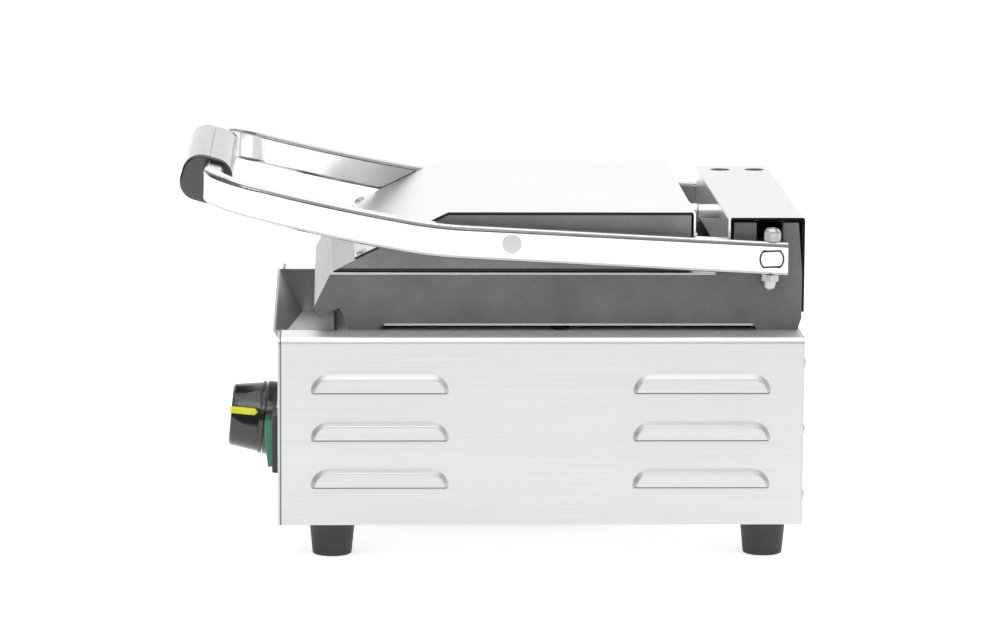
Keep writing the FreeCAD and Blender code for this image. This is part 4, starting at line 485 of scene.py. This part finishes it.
def conduit_ferrule():
    """Ridged collar on the cover's rear flange, facing the end of the lead conduit."""
    rings = [(0.0046, 0.0), (0.0058, 0.0001), (0.0058, 0.0018), (0.0050, 0.0022)]
    for step in range(3):
        rings += [(0.0050, 0.0026 + step * 0.0013), (0.0045, 0.0031 + step * 0.0013)]
    rings += [(0.0048, 0.0066), (0.0032, 0.0067), (0.0032, 0.0030), (0.0010, 0.0028)]
    at = Vector((0.050, cad_casing_front + 0.2494, 0.1968))
    turned = stand(lathe(rings, 48), Matrix.Rotation(-math.pi / 2, 3, "X"), at)
    new_piece("conduit_ferrule", turned, conduit_steel, "upper_plate")


def shaft_gap_shades():
    """Dark ring over the gap, a painted shadow of the gap, and the rounded rim of each flatted end of the
    hinge shaft.
    """
    turn = Matrix.Rotation(math.pi / 2, 3, "Y")

    def flatted(spot, number, step):
        across = spot.x * math.cos(ARM_PITCH) + spot.y * math.sin(ARM_PITCH)
        limit = math.hypot(spot.x, spot.y) - 0.0022
        if abs(across) > limit:
            spot.x *= limit / abs(across)
        return spot

    for side, name in ((-1, "left"), (1, "right")):
        rings = [(0.0075, 0.1305), (0.0075, 0.13812), (0.0064, 0.13812), (0.0064, 0.1370)]
        if side < 0:
            rings = [(radius, -height) for radius, height in reversed(rings)]
        at = Vector((0, HINGE.y, HINGE.z))
        new_piece(f"shaft_gap_shade_{name}", stand(lathe(rings, 96, flatted), turn, at), dark_steel, "handle",
                  smooth=False)


def dial_scale():
    """Raised ticks round the dial, a guess: the photograph doesn't show the panel's face."""
    mesh = bmesh.new()
    for number in range(11):
        angle = math.radians(225 - 27 * number)
        outward = Vector((math.cos(angle), 0, math.sin(angle)))
        across = Vector((-math.sin(angle), 0, math.cos(angle)))
        length = 0.0032 if number % 5 else 0.0048
        middle = DIAL_CENTRE + outward * 0.0258
        corners = []
        for reach, side in ((0, -1), (0, 1), (1, 1), (1, -1)):
            spot = middle + outward * (reach * length) + across * (side * 0.0004)
            corners.append([mesh.verts.new(spot + Vector((0, depth, 0))) for depth in (0.0, -0.00012)])
        mesh.faces.new([pair[1] for pair in corners])
        for first, second in zip(corners, corners[1:] + corners[:1]):
            mesh.faces.new((first[0], second[0], second[1], first[1]))
    bmesh.ops.recalc_face_normals(mesh, faces=mesh.faces)
    new_piece("dial_scale", mesh, satin_black, "base", smooth=False)


knob()
clamp_screws()
cover_screws()
conduit_ferrule()
shaft_gap_shades()
dial_scale()

# ---------------------------------------------------------------- stage, light and camera

floor_mesh = bpy.data.meshes.new("floor")
signs = ((-1, -1), (1, -1), (1, 1), (-1, 1))
floor_mesh.from_pydata([(x * FLOOR_REACH, y * FLOOR_REACH, 0) for x, y in signs], [], [(0, 1, 2, 3)])
floor = bpy.data.objects.new("floor", floor_mesh)
bpy.context.scene.collection.objects.link(floor)
paper = Shader("paper", (0.93, 0.93, 0.93), 0.0, 0.9, Specular_IOR_Level=0.1)
paper.bsdf.inputs["Emission Color"].default_value = (1, 1, 1, 1)
mottle = paper.noise(3.0)
paper.set("Base Color", paper.tint(mottle, (0.925, 0.925, 0.925), (0.935, 0.935, 0.935)))
paper.bsdf.inputs["Emission Strength"].default_value = FLOOR_GLOW
floor_mesh.materials.append(paper.material)


def studio_world():
    """White, brighter on the far side from the camera, with a dark band low in front of the machine."""
    world = bpy.data.worlds.new("studio")
    world.use_nodes = True
    tree = world.node_tree
    ground = tree.nodes["Background"]
    way = tree.nodes.new("ShaderNodeTexCoord").outputs["Generated"]
    split = tree.nodes.new("ShaderNodeSeparateXYZ")
    tree.links.new(way, split.inputs[0])

    def ramp(value, start, end, low, high):
        node = tree.nodes.new("ShaderNodeMapRange")
        node.interpolation_type = "SMOOTHSTEP"
        tree.links.new(value, node.inputs[0])
        for index, number in enumerate((start, end, low, high), start=1):
            node.inputs[index].default_value = number
        return node.outputs[0]

    def along(direction):
        node = tree.nodes.new("ShaderNodeVectorMath")
        node.operation = "DOT_PRODUCT"
        tree.links.new(way, node.inputs[0])
        node.inputs[1].default_value = direction
        return node.outputs["Value"]

    def both(first, second):
        node = tree.nodes.new("ShaderNodeMath")
        node.operation = "MULTIPLY"
        tree.links.new(first, node.inputs[0])
        tree.links.new(second, node.inputs[1])
        return node.outputs[0]

    band = both(ramp(split.outputs["Z"], 0.0, 0.03, 0.0, 1.0), ramp(split.outputs["Z"], 0.24, 0.5, 1.0, 0.0))
    band = both(band, ramp(along((0.6, -0.8, 0.0)), 0.0, 0.55, 0.0, 1.0))
    open_level = ramp(along((-1.0, 0.0, 0.0)), 0.1, 0.7, WORLD_NEAR, WORLD_FAR)
    dimming = ramp(band, 0.0, 1.0, 1.0, WORLD_DARK)
    level = both(open_level, dimming)
    tree.links.new(level, ground.inputs[1])
    ground.inputs[0].default_value = (1, 1, 1, 1)
    bpy.context.scene.world = world


studio_world()


def soft_box(name, at, aim, size, power):
    """An area light at one place, aimed at another."""
    lamp = bpy.data.lights.new(name, "AREA")
    lamp.shape = "RECTANGLE"
    lamp.size, lamp.size_y = size
    lamp.energy = power
    holder = bpy.data.objects.new(name, lamp)
    holder.location = at
    holder.rotation_euler = (Vector(aim) - Vector(at)).to_track_quat("-Z", "Y").to_euler()
    bpy.context.scene.collection.objects.link(holder)


soft_box("overhead", (0.5, 0.1, 1.7), (0, 0, 0.1), (1.8, 1.8), 14)
soft_box("rear_fill", (-0.9, 1.5, 1.2), (0, 0, 0.15), (1.2, 0.8), 3)
soft_box("key", (1.25, -0.35, 1.10), (0.05, -0.1, 0.1), (0.9, 0.32), 2.6)

PITCH, YAW, ROLL = math.radians(9.07), math.radians(2.13), math.radians(0.334)
camera_data = bpy.data.cameras.new("camera")
camera_data.lens = 166.5
camera_data.sensor_width = 36.0
camera = bpy.data.objects.new("camera", camera_data)
camera.location = (2.8524, cad_casing_front + 0.0311, 0.5797)
look = Vector((-math.cos(YAW) * math.cos(PITCH), math.sin(YAW) * math.cos(PITCH), -math.sin(PITCH)))
camera.rotation_euler = (look.to_track_quat("-Z", "Y").to_matrix() @ Matrix.Rotation(ROLL, 3, "Z")).to_euler()
bpy.context.scene.collection.objects.link(camera)
bpy.context.scene.camera = camera
bpy.context.scene.view_settings.view_transform = "Standard"
